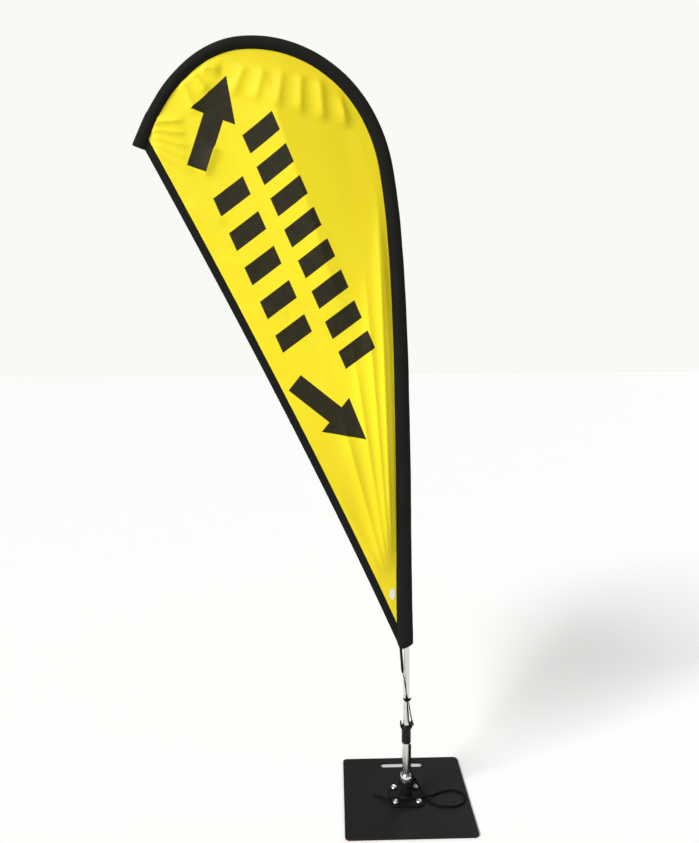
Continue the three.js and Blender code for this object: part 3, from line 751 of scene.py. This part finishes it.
def buildBolts():
    half = bolts["spacing"] / 2
    low = foot["flange"][1] + bolts["play"]
    washerTop = low + bolts["washerThickness"]
    headBottom = washerTop + bolts["play"]
    wide = bolts["headRadius"]
    rim = bolts["rim"]
    dome = bolts["dome"]
    mouth = bolts["hexMouth"]
    hexRadius = bolts["hexRadius"]
    socketRim = rim + dome * sin(acos(mouth / wide))
    # Each ring is a radius, a height, and whether it is a hexagon.
    rings = [(0, 0, 0), (4, 0, 0), (wide - 0.6, 0, 0), (wide, 0.5, 0), (wide, rim + 0.1, 0)]
    for degrees in range(12, 62, 8):
        angle = radians(degrees)
        rings.append((wide * cos(angle), rim + dome * sin(angle), 0))
    rings += [(mouth, socketRim, 0), (hexRadius + 0.35, socketRim + 0.3, 1), (hexRadius, socketRim, 1)]
    rings += [(hexRadius, socketRim - 2.9, 1), (0, socketRim - 3.4, 0)]
    hole, out = bolts["washer"]
    washerOutline = [
        (hole, low), (out - 0.4, low), (out, low + 0.4), (out, washerTop - 0.4), (out - 0.4, washerTop),
        (hole, washerTop),
    ]
    around = 48
    for index, (sx, sy) in enumerate(squareCorners):
        turn = 0.35 + index * 0.8

        def place(i, j, sx=sx, sy=sy, turn=turn):
            radius, height, hexagonal = rings[i]
            angle = fullTurn * j / around
            if hexagonal:
                radius /= cos((angle % (pi / 3)) - pi / 6) / cos(pi / 6)
            flat = Vector((cos(angle + turn), sin(angle + turn), 0)) * radius
            return (flat + Vector((sx * half, sy * half, headBottom + height))) * mm

        mesh = gridMesh(len(rings) - 1, around, place, (0.02, 0.06))
        outward(mesh)
        steel = finishes["bolt_steel"]
        addPiece(f"flangeBolt{index + 1}", mesh, 42, "chrome", "foot", f"flange_bolt_{index + 1}", steel)
        washerMesh = turnedMesh(washerOutline, 48, (sx * half, sy * half))
        addPiece(f"boltWasher{index + 1}", washerMesh, 40, "post_black", "foot", f"bolt_washer_{index + 1}")


buildPlate()
buildPost()
buildBolts()
print("foot ready")


socket = {
    "capFoot": 63.6,
    "capRadius": 20,
    "capTopRadius": 14.5,
    "capHeight": 24,
    "tubeRadius": 12.3,
    "tubeWall": 1.7,
    "tubeTop": 205,
}
collar = {
    "radius": 14.6,
    "bottom": 193,
    "top": 251,
    "grooves": (8, 12, 16, 20),
    "neck": 9.8,
    "neckRise": 2,
    "earReach": 20,
    "earTip": 17,
    "earInside": 14.6,
    "earTop": 265,
    "earWidth": 10,
}


def buildSocket():
    foot = socket["capFoot"]
    wide = socket["capRadius"]
    narrow = socket["capTopRadius"]
    bore = socket["tubeRadius"] + 0.3
    top = foot + socket["capHeight"]
    rim = foot + 8.6
    outline = [(bore, foot), (wide - 0.6, foot), (wide, foot + 0.6), (wide, rim - 1.6)]
    outline += [(wide - 0.5, rim - 1.2), (wide - 0.5, rim - 0.4), (wide, rim)]
    for degrees in range(6, 91, 7):
        angle = radians(degrees)
        outline.append((narrow + (wide - narrow) * cos(angle), rim + (top - rim) * sin(angle)))
    outline += [(bore + 0.5, top), (bore, top - 0.5)]
    addPiece("socketCap", turnedMesh(outline, 80), 38, "chrome", "spindle", "socket_cap")

    radius = socket["tubeRadius"]
    inside = radius - socket["tubeWall"]
    bottom = foot + 3
    top = socket["tubeTop"]
    outline = [(inside, bottom), (radius, bottom), (radius, top - 0.6), (radius - 0.5, top)]
    outline += [(inside + 0.4, top), (inside, top - 0.5)]
    steel = finishes["socket_steel"]
    addPiece("socketTube", turnedMesh(outline, 72), 38, "chrome", "spindle", "socket_tube", steel)


# An outline that goes on from its start in bends, each with a control point and an end.
def curvedOutline(start, *bends):
    points = [Vector(start)]
    for bend in bends:
        before = points[-1]
        control, end = [Vector(corner) for corner in bend]
        for step in range(1, 9):
            share = step / 8
            points.append(before.lerp(control, share).lerp(control.lerp(end, share), share))
    return points


def buildCollar():
    radius = collar["radius"]
    bottom = collar["bottom"]
    top = collar["top"]
    neck = collar["neck"]
    skirt = socket["tubeRadius"] + 0.3
    step = socket["tubeTop"] + 0.3
    outline = [(skirt, bottom), (radius - 1, bottom), (radius - 0.2, bottom + 1), (radius, bottom + 2.5)]
    for groove in collar["grooves"]:
        place = bottom + groove
        outline += [(radius, place - 0.9), (radius - 0.55, place - 0.4)]
        outline += [(radius - 0.55, place + 0.4), (radius, place + 0.9)]
    outline += [(radius, top - 8), (radius - 0.5, top - 3), (radius - 1.6, top - 0.6)]
    shoulder = top + collar["neckRise"]
    outline += [(neck + 2.6, top + 1.4), (neck + 1.8, shoulder), (neck + 0.4, shoulder)]
    outline += [(neck, shoulder - 0.4), (neck, step), (skirt, step)]
    body = turnedMesh(outline, 72)
    reach = collar["earReach"]
    inside = collar["earInside"]
    high = collar["earTop"]
    root = radius - 4
    earFoot = top - 13
    points = curvedOutline(
        (radius - 0.5, earFoot),
        ((reach, top - 7), (reach, shoulder + 1)),
        ((reach, high), (collar["earTip"], high)),
        ((inside, high), (inside, shoulder + 4)),
    )
    points += [Vector(corner) for corner in ((inside, shoulder - 3), (root, shoulder - 3), (root, earFoot))]
    half = collar["earWidth"] / 2
    ears = []
    for side in (-1, 1):
        ear = bmesh.new()
        verts = [ear.verts.new((side * point.x * mm, -half * mm, point.y * mm)) for point in points]
        pushFaces(ear, [ear.faces.new(verts)], (0, 2 * half * mm, 0))
        rims = [edge for edge in ear.edges if len({round(v.co.y, 6) for v in edge.verts}) == 1]
        bmesh.ops.bevel(
            ear, geom=rims, offset=0.8 * mm, segments=3, profile=0.5, affect="EDGES", material=-1
        )
        outward(ear)
        ears.append(ear)
    addPiece("hookCollar", joinMeshes(body, *ears), 38, "black_plastic", "pole", "hook_collar")


buildSocket()
buildCollar()
print("socket and collar ready")


pole = {
    "foot": 98,
    "bendStart": 500,
    "bend": [
        [(0, 500), (-12, 822), (1, 1621), (-59, 1956)],
        [(-59, 1956), (-112, 2252), (-359, 2339), (-510, 2304)],
        [(-510, 2304), (-602, 2282), (-708, 2196), (-773, 2022)],
    ],
    "firstRadius": 9.5,
    "firstWall": 1.5,
}


def poleRoute():
    points = [Vector((0, 0, pole["foot"] * mm)), Vector((0, 0, pole["bendStart"] * mm))]
    for handles in pole["bend"]:
        corners = [Vector((x * mm, 0, z * mm)) for x, z in handles]
        points += geometry.interpolate_bezier(*corners, 200)[1:]
    return points


poleLine = Line(poleRoute(), 1200)


# How far along the pole a height on its upright stretch is, in metres.
def alongAt(height):
    return (height - pole["foot"]) * mm


# The pole's point and its outward direction in the flag's plane, at a distance from its foot.
def poleSpot(distance):
    point, along, side = poleLine.at(distance / poleLine.length)
    return point, side.cross(along)


def buildFirstSection():
    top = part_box("pole_section_1")[1].z
    end = 0.0
    while poleSpot(end)[0].z < top - 0.001:
        end += 0.005
    start = 0.0001
    around = 48
    along = 90
    radius = pole["firstRadius"] * mm
    wall = pole["firstWall"] * mm
    rings = [(start, radius - wall), (start, radius - 0.0003)]
    rings += [(mixed(start + 0.0004, end, i / along), radius) for i in range(along + 1)]
    rings += [(end, radius - wall)]
    rings += [(mixed(end, start, i / 20), radius - wall) for i in range(1, 21)]

    def place(i, j):
        distance, size = rings[i]
        point, out = poleSpot(distance)
        angle = fullTurn * j / around
        return point + out * cos(angle) * size + Vector((0, sin(angle) * size, 0))

    mesh = gridMesh(len(rings) - 1, around, place, (poleLine.length, fullTurn * radius))
    outward(mesh)
    addPiece("poleSection1", mesh, 40, "pole_aluminium", "pole", "pole_section_1")


buildFirstSection()
print("pole ready")


sleeve = {
    "outerHalf": (22.5, 17),
    "innerHalf": (28.5, 16.5),
    "halfThickness": (13.2, 8.4),
    "cloth": 0.9,
    "outerFoot": 522,
    "innerFoot": (-20, 506),
    "trailingSlope": 2.32,
    "seamHalf": 1.3,  # where it is stitched to the panel
    "hemDepth": 24,
    "puckers": 0.9,
}
pocket = {
    "length": 98,
    "halfWidth": 18.4,
    "flare": 2,
    "halfThickness": 8.6,
    "seamHalf": 2.2,
    "stitchRows": (0.06, 0.1, 0.9, 0.94),
}
sleeveStart = alongAt(pole["bendStart"])
pocketStart = poleLine.length - pocket["length"] * mm


def alongSleeve(pair, distance):
    share = (distance - sleeveStart) / (poleLine.length - sleeveStart)
    return mixed(pair[0], pair[1], min(max(share, 0), 1))


def innerHalfAt(distance):
    if distance < pocketStart:
        return alongSleeve(sleeve["innerHalf"], distance)
    return pocket["halfWidth"]


def ripple(along, across, seed, size):
    return noise.noise(Vector((along * size, across, seed)))


# Where the sleeve's slanted mouth starts, for a place across it in mm.
def mouthHeight(across):
    cornerX, cornerZ = sleeve["innerFoot"]
    if across < cornerX:
        return cornerZ + (cornerX - across) * sleeve["trailingSlope"]
    outer = sleeve["outerHalf"][0]
    return mixed(cornerZ, sleeve["outerFoot"], (across - cornerX) / (outer - cornerX))


def buildSleeve():
    along = 420
    around = 56
    hemDepth = sleeve["hemDepth"] * mm

    def place(i, j):
        angle = fullTurn * j / around
        cosine = cos(angle)
        sine = sin(angle)
        half = sleeve["outerHalf"] if cosine > 0 else sleeve["innerHalf"]
        acrossFoot = cosine * half[0]
        start = alongAt(mouthHeight(acrossFoot))
        distance = mixed(start, pocketStart + 0.012, (i / along) ** 1.06)
        across = cosine * alongSleeve(half, distance)
        bulge = abs(sine) ** (1.35 if cosine > 0 else 1.75)
        thick = alongSleeve(sleeve["halfThickness"], distance) * bulge
        if cosine < 0:
            thick = max(thick, sleeve["seamHalf"] * abs(sine) ** 0.4)
        fromMouth = distance - start
        loose = eased(fromMouth, 0, 0.05) * 0.6 + 0.4
        face = 1 if sine > 0 else -1
        long = ripple(distance, cosine * 1.6, 3.1 + face, 9)
        short = ripple(distance, cosine * 0.9, 8.7 + face, 42) * (0.35 + 0.65 * abs(cosine))
        thick += (long * 0.8 + short * 0.9) * sleeve["puckers"] * abs(sine) * loose
        if fromMouth < hemDepth:
            thick += 0.5 * abs(sine)
        stitchDip = exp(-(((fromMouth - hemDepth) / 0.0012) ** 2))
        thick -= 0.6 * stitchDip * abs(sine)
        edgeWave = ripple(distance, 0, 5.5, 14) * 0.7
        point, out = poleSpot(distance)
        across += edgeWave * abs(cosine)
        return point + out * across * mm + Vector((0, face * max(thick, 0) * mm, 0))

    mesh = gridMesh(along, around, place, (poleLine.length - sleeveStart, 0.11))
    outward(mesh)
    piece = addPiece("flagSleeve", mesh, 70, "sleeve_fabric", "pole", "flag_sleeve")
    addThickness(piece, sleeve["cloth"])


def buildPocket():
    along = 64
    around = 48
    stations = [(0, 0.0), (0, 0.86), (0.004, 1)]
    stations += [(i / along, 1) for i in range(1, along)]
    stations += [(0.992, 1), (1, 0.9), (1, 0)]

    def place(i, j):
        share, size = stations[i]
        distance = mixed(pocketStart, poleLine.length, share)
        angle = fullTurn * j / around
        cosine = cos(angle)
        sine = sin(angle)
        flare = pocket["flare"] * eased(share, 0.5, 1)
        across = cosine * (pocket["halfWidth"] + (flare if cosine > 0 else 0)) * size
        bulge = abs(sine) ** 1.2 * pocket["halfThickness"] * mixed(1, 0.8, eased(share, 0.8, 1))
        thick = max(bulge, pocket["seamHalf"] * abs(sine) ** 0.4) * size
        dent = sum(exp(-(((share - row) / 0.006) ** 2)) for row in pocket["stitchRows"])
        thick -= 0.55 * dent * abs(sine) * size
        face = 1 if sine > 0 else -1
        thick += ripple(distance, cosine * 1.4, 2.2 + face, 30) * 0.6 * abs(sine) * size
        point, out = poleSpot(distance)
        return point + out * across * mm + Vector((0, face * max(thick, 0) * mm, 0))

    mesh = gridMesh(len(stations) - 1, around, place, (pocket["length"] * mm, 0.09))
    outward(mesh)
    addPiece("tipPocket", mesh, 50, "sleeve_fabric", "pole", "tip_pocket")


buildSleeve()
buildPocket()
print("sleeve ready")


panel = {
    "cloth": 0.4,
    "hemWidth": 24.5,
    "hemThickness": 1.8,
    "trailingBow": (-287, 1125),
    "underSleeve": 4,
    "stitchRows": (0.12, 0.86),
}

folding = {"strength": 2.2, "crest": 2.5, "fade": 0.88, "narrowing": 0.85}

# Rows of folds in the flag, in mm as (x, z). Each row steps from its first fold to the next, and a
# fold is a ridge with its width on either side.
foldRows = [
    {"count": 1, "start": (-430, 2290), "reach": (270, -840), "height": 10, "widths": (100, 110)},
    {
        "count": 6, "start": (-200, 2215), "reach": (25, -150), "height": 7.5, "widths": (22, 17),
        "step": (-52, 8), "turn": (-14, 10),
    },
    {
        "count": 3, "start": (-590, 2245), "reach": (60, -15), "height": 5, "widths": (14, 19),
        "step": (-30, -15), "turn": (-5, -45),
    },
    {
        "count": 5, "start": (-745, 2090), "reach": (110, 8), "height": 4, "widths": (10, 10),
        "step": (2, -18), "turn": (5, -20),
    },
    {
        "count": 5, "start": (-45, 740), "reach": (-45, 1190), "height": 8, "widths": (24, 16),
        "step": (-5, -5), "turn": (-35, -210),
    },
    {
        "count": 3, "start": (-650, 1865), "reach": (130, -60), "height": 3, "widths": (14, 14),
        "step": (90, -150), "turn": (0, 20),
    },
    {"count": 1, "start": (-550, 2035), "reach": (-40, -100), "height": 5.5, "widths": (24, 16)},
]


def foldsOf(row):
    for index in range(row["count"]):
        start = Vector(row["start"]) + Vector(row.get("step", (0, 0))) * index
        reach = Vector(row["reach"]) + Vector(row.get("turn", (0, 0))) * index
        yield start, reach, row["height"] * folding["fade"] ** index, row["widths"]


folds = [fold for row in foldRows for fold in foldsOf(row)]


# How far a place stands forward of the flat flag, in mm.
def foldHeight(x, z):
    crest = folding["crest"]
    height = 0
    for start, reach, ridge, widths in folds:
        offset = Vector((x, z)) - start
        along = min(max(offset.dot(reach) / reach.length_squared, 0), 1)
        away = (offset - reach * along).length
        width = widths[0 if offset.x * reach.y > offset.y * reach.x else 1]
        taper = eased(along, 0, 0.22) * eased(1 - along, 0, 0.3)
        height += ridge * taper * exp(-(hypot(away, crest) - crest) / (width * folding["narrowing"]))
    return height


def clothWave(x, z):
    slow = noise.noise(Vector((x * 0.0042, 0.4, z * 0.0017))) * 7
    quick = noise.noise(Vector((x * 0.017 + z * 0.004, 3.3, z * 0.006))) * 1.6
    return slow + quick + folding["strength"] * foldHeight(x, z)


def trailingEdge():
    point, out = poleSpot(poleLine.length)
    tip = point - out * pocket["halfWidth"] * mm
    bowX, bowZ = panel["trailingBow"]
    bow = Vector((bowX * mm, 0, bowZ * mm))
    footX, footZ = sleeve["innerFoot"]
    foot = Vector((footX * mm, 0, footZ * mm))
    points = [foot.lerp(bow, i / 300).lerp(bow.lerp(tip, i / 300), i / 300) for i in range(301)]
    return Line(points, 400)


trailingLine = trailingEdge()
panelFoot = alongAt(mouthHeight(-sleeve["innerHalf"][0])) + 0.002


# The flag's two edges at a share of the way from its foot to its tip, and the hem's share of the span.
def flagSpan(share):
    distance = mixed(panelFoot, poleLine.length, share)
    point, out = poleSpot(distance)
    under = panel["underSleeve"] if distance < pocketStart else panel["underSleeve"] / 2
    sewn = point - out * (innerHalfAt(distance) - under) * mm
    free, along, _ = trailingLine.at(share)
    span = sewn - free
    away = abs(span.normalized().cross(along).length) if span.length > 1e-6 else 1
    hem = min(panel["hemWidth"] * mm / max(away * span.length, 1e-6), 1)
    return free, sewn, hem


def flagPoint(share, across):
    free, sewn, _ = flagSpan(share)
    point = free.lerp(sewn, across)
    calm = eased(1 - across, 0.0, 0.07) * (0.3 + 0.7 * eased(across, 0, 0.3))
    ends = eased(share, 0.02, 0.12) * eased(1 - share, 0.0, 0.03)
    point.y -= clothWave(point.x / mm, point.z / mm) * calm * ends * mm
    return point


def buildPanel():
    along = 330
    around = 140

    def placePanel(i, j):
        share = i / along
        hem = flagSpan(share)[2]
        start = max(hem - 0.02, 0)
        return flagPoint(share, mixed(start, 1, j / around))

    mesh = gridMesh(along, around, placePanel, (1.83, 0.7))
    outward(mesh, 1e-6)
    piece = addPiece("flagPanel", mesh, 80, "flag_fabric", "pole", "flag_panel")
    addThickness(piece, panel["cloth"], 0)

    def placeHem(i, j):
        share = i / 420
        hem = flagSpan(share)[2]
        around = 2 * j / 28
        face = -1 if around < 1 else 1
        across = around if around < 1 else 2 - around
        point = flagPoint(share, across * hem)
        half = panel["hemThickness"] / 2 * min(sin(pi * min(max(across, 0.02), 0.98)) ** 0.3, 1)
        half -= sum(0.35 * exp(-(((across - row) / 0.04) ** 2)) for row in panel["stitchRows"])
        half += ripple(share * 1.8, across * 2, 4.4, 40) * 0.25
        point.y += face * max(half, 0.15) * mm * (0 if across in (0, 1) else 1)
        return point

    hemMesh = gridMesh(420, 28, placeHem, (trailingLine.length, 0.05))
    outward(hemMesh, 1e-6)
    hem = addPiece("trailingHem", hemMesh, 60, "sleeve_fabric", "pole", "trailing_hem")
    return piece, hem


def buildLabel():
    low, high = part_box("blank_label")
    middle = (low + high) / 2
    size = (high - low) / 2
    mesh = bmesh.new()
    bmesh.ops.create_circle(mesh, cap_ends=True, segments=56, radius=1)
    pushFaces(mesh, mesh.faces[:], (0, 0, 1))
    for vert in mesh.verts:
        x, y, z = vert.co
        vert.co = (middle.x + x * size.x, mixed(high.y, low.y, z), middle.z + y * size.z)
    outward(mesh)
    label = addPiece("blankLabel", mesh, 40, "label", "pole", "blank_label")
    addBevel(label, 0.15)
    return label


flagPanel, trailingHem = buildPanel()
blankLabel = buildLabel()
print("flag ready")


tension = {
    "strapTop": (-18, -8, 504),
    "strapBottom": (-12.5, -11.5, 428),
    "strapHalf": 4.25,
    "cordRoute": [(-11.5, -11.7, 426), (-8.4, -12.6, 412), (-3.6, -13.2, 382), (0.6, -14.4, 351.8)],
    "cordRadius": 1.6,
    "knot": (1, -16, 343),
    "knotReach": (5.2, 4, 5.6),
    "lobes": [
        [(1, -16, 339), (-3, -17.5, 342), (-8, -17.5, 346), (-12.3, -17, 350.5)],
        [(1, -16, 339), (5, -17.5, 342), (10, -17.5, 346), (14, -17, 351)],
    ],
    "lobeRadius": 3.1,
    "elasticRadius": 1.8,
    "elasticRoute": [
        (1.5, -15, 334.2), (4, -13.8, 304.2), (7, -13.4, 272.8), (11.45, -9.4, 260.8), (12.05, 0, 255.8),
        (12.45, 8, 255.8), (16.5, 9.4, 253.3), (21.6, 6.8, 251.3), (22.8, 1, 249.8), (21.8, -7, 254.8),
        (19.5, -11, 263.8), (14, -13.6, 283.8), (6.2, -15, 334.2),
    ],
}


def lobeTaper(share):
    return 0.45 + 0.75 * sin(pi * min(share * 1.15, 1)) ** 1.5


def buildTension():
    top, bottom = millimetres([tension["strapTop"], tension["strapBottom"]])
    hidden = top + (top - bottom).normalized() * 0.03
    strapLine = Line([hidden, top, bottom], 60, (0, 1, 0))
    half = tension["strapHalf"] * mm

    def placeStrap(i, j):
        share = i / 90
        point, along, side = strapLine.at(share)
        angle = fullTurn * j / 24
        wide = copysign(abs(cos(angle)) ** 0.35, cos(angle))
        deep = copysign(abs(sin(angle)) ** 0.35, sin(angle))
        narrow = mixed(1, 0.62, eased(share, 0.86, 1))
        ends = 0 if i in (0, 90) else 1
        fold = 0.4 * eased(share, 0.6, 0.66)
        return point + (along.cross(side) * wide * half * narrow + side * deep * (0.0007 + fold * mm)) * ends

    strapMesh = gridMesh(90, 24, placeStrap, (strapLine.length, 0.02))
    outward(strapMesh)
    addPiece("tensionStrap", strapMesh, 40, "webbing", "pole", "tension_strap")

    mesh = cordMesh(routeLine(tension["cordRoute"], 80), tension["cordRadius"] * mm, 70, 10)
    addPiece("tensionCord", mesh, 60, "cord", "pole", "tension_cord")

    core = knotMesh(tension["knot"], tension["knotReach"], 2.6)
    lobes = [
        cordMesh(routeLine(lobe, 30), tension["lobeRadius"] * mm, 26, 12, lobeTaper)
        for lobe in tension["lobes"]
    ]
    addPiece("tensionKnot", joinMeshes(core, *lobes), 60, "cord", "pole", "tension_knot")

    elasticLine = routeLine(tension["elasticRoute"], 160, (1, 0, 0))
    mesh = cordMesh(elasticLine, tension["elasticRadius"] * mm, 150, 10)
    addPiece("elasticLoop", mesh, 60, "cord", "pole", "elastic_loop")


buildTension()
print("tension gear ready")


studio = {
    "floorSide": 60,
    "background": (0.945, 0.95, 0.915),
    "surround": 0.34,
    "reflected": 0.2,
    "softBoxes": [
        {"from": (-0.62, -0.62, 0.48), "edge": (0.80, 0.93), "strength": 1.3},
        {"from": (0.35, -0.92, 0.15), "edge": (0.90, 0.97), "strength": 0.5},
        {"from": (0.0, 0.0, 1.0), "edge": (0.86, 0.98), "strength": 0.5},
        {"from": (0.9, 0.42, 0.05), "edge": (0.80, 0.88), "strength": 0.02},
    ],
    "lights": [
        {"name": "keyLight", "from": (-0.66, -0.52, 0.72), "spread": 22, "strength": 3.15},
        {"name": "rimLight", "from": (0.55, 0.75, 0.6), "spread": 40, "strength": 0.5},
    ],
}


def buildFloor():
    mesh = bmesh.new()
    bmesh.ops.create_grid(mesh, x_segments=1, y_segments=1, size=studio["floorSide"] / 2)
    floor = newPiece("floor", mesh)
    finish = Finish("paleFloor", Specular_IOR_Level=0.05)
    cloud = finish.clouds(1.2, 3)
    x, y, _ = finish.parts(finish.spot())
    middleY = foot["plateMiddle"][1] * mm
    # Painted shadow: the floor under the plate is darker, standing in for the plate's shade on the floor
    # seen through its slot.
    paintedShadowUnderPlate = x.sized().ramp(0.198, 0.19) * (y - middleY).sized().ramp(0.198, 0.19)
    pale = finish.blend(cloud, (0.93, 0.93, 0.915), (0.92, 0.922, 0.908))
    finish.set(Base_Color=finish.blend(paintedShadowUnderPlate, pale, (0.6, 0.6, 0.59)))
    finish.set(Roughness=0.7 + cloud * 0.1)
    floor.data.materials.append(finish.material)


# The camera sees a plain pale background, glossy pieces mirror soft boxes and a dark card, and the
# rest is even light.
def buildWorld():
    world = bpy.data.worlds.new("studio")
    bpy.context.scene.world = world
    world.use_nodes = True
    world.node_tree.nodes.clear()
    add = world.node_tree.nodes.new
    link = world.node_tree.links.new

    def background(color, strength=1.0):
        made = add("ShaderNodeBackground")
        made.inputs["Color"].default_value = (*color, 1)
        made.inputs["Strength"].default_value = strength
        return made

    def choose(share, first, second):
        made = add("ShaderNodeMixShader")
        link(share, made.inputs[0])
        link(first.outputs[0], made.inputs[1])
        link(second.outputs[0], made.inputs[2])
        return made

    path = add("ShaderNodeLightPath")
    way = add("ShaderNodeTexCoord").outputs["Generated"]
    mirrored = background((1, 1, 1), studio["reflected"])
    for box in studio["softBoxes"]:
        facing = add("ShaderNodeVectorMath")
        facing.operation = "DOT_PRODUCT"
        link(way, facing.inputs[0])
        facing.inputs[1].default_value = Vector(box["from"]).normalized()
        inside = add("ShaderNodeMapRange")
        inside.interpolation_type = "SMOOTHSTEP"
        link(facing.outputs["Value"], inside.inputs["Value"])
        inside.inputs["From Min"].default_value = box["edge"][0]
        inside.inputs["From Max"].default_value = box["edge"][1]
        mirrored = choose(inside.outputs[0], mirrored, background((1, 1, 1), box["strength"]))
    even = background((1, 1, 1), studio["surround"])
    seen = background(studio["background"])
    lit = choose(path.outputs["Is Glossy Ray"], even, mirrored)
    output = add("ShaderNodeOutputWorld")
    link(choose(path.outputs["Is Camera Ray"], lit, seen).outputs[0], output.inputs[0])


def buildLights():
    for facts in studio["lights"]:
        data = bpy.data.lights.new(facts["name"], "SUN")
        data.angle = radians(facts["spread"])
        data.energy = facts["strength"]
        light = addObject(facts["name"], data)
        turned = (-Vector(facts["from"])).to_track_quat("-Z", "Y")
        light.matrix_world = turned.to_matrix().to_4x4()


buildFloor()
buildWorld()
buildLights()
bpy.context.scene.view_settings.view_transform = "Standard"
print("studio ready")

bpy.context.view_layer.update()
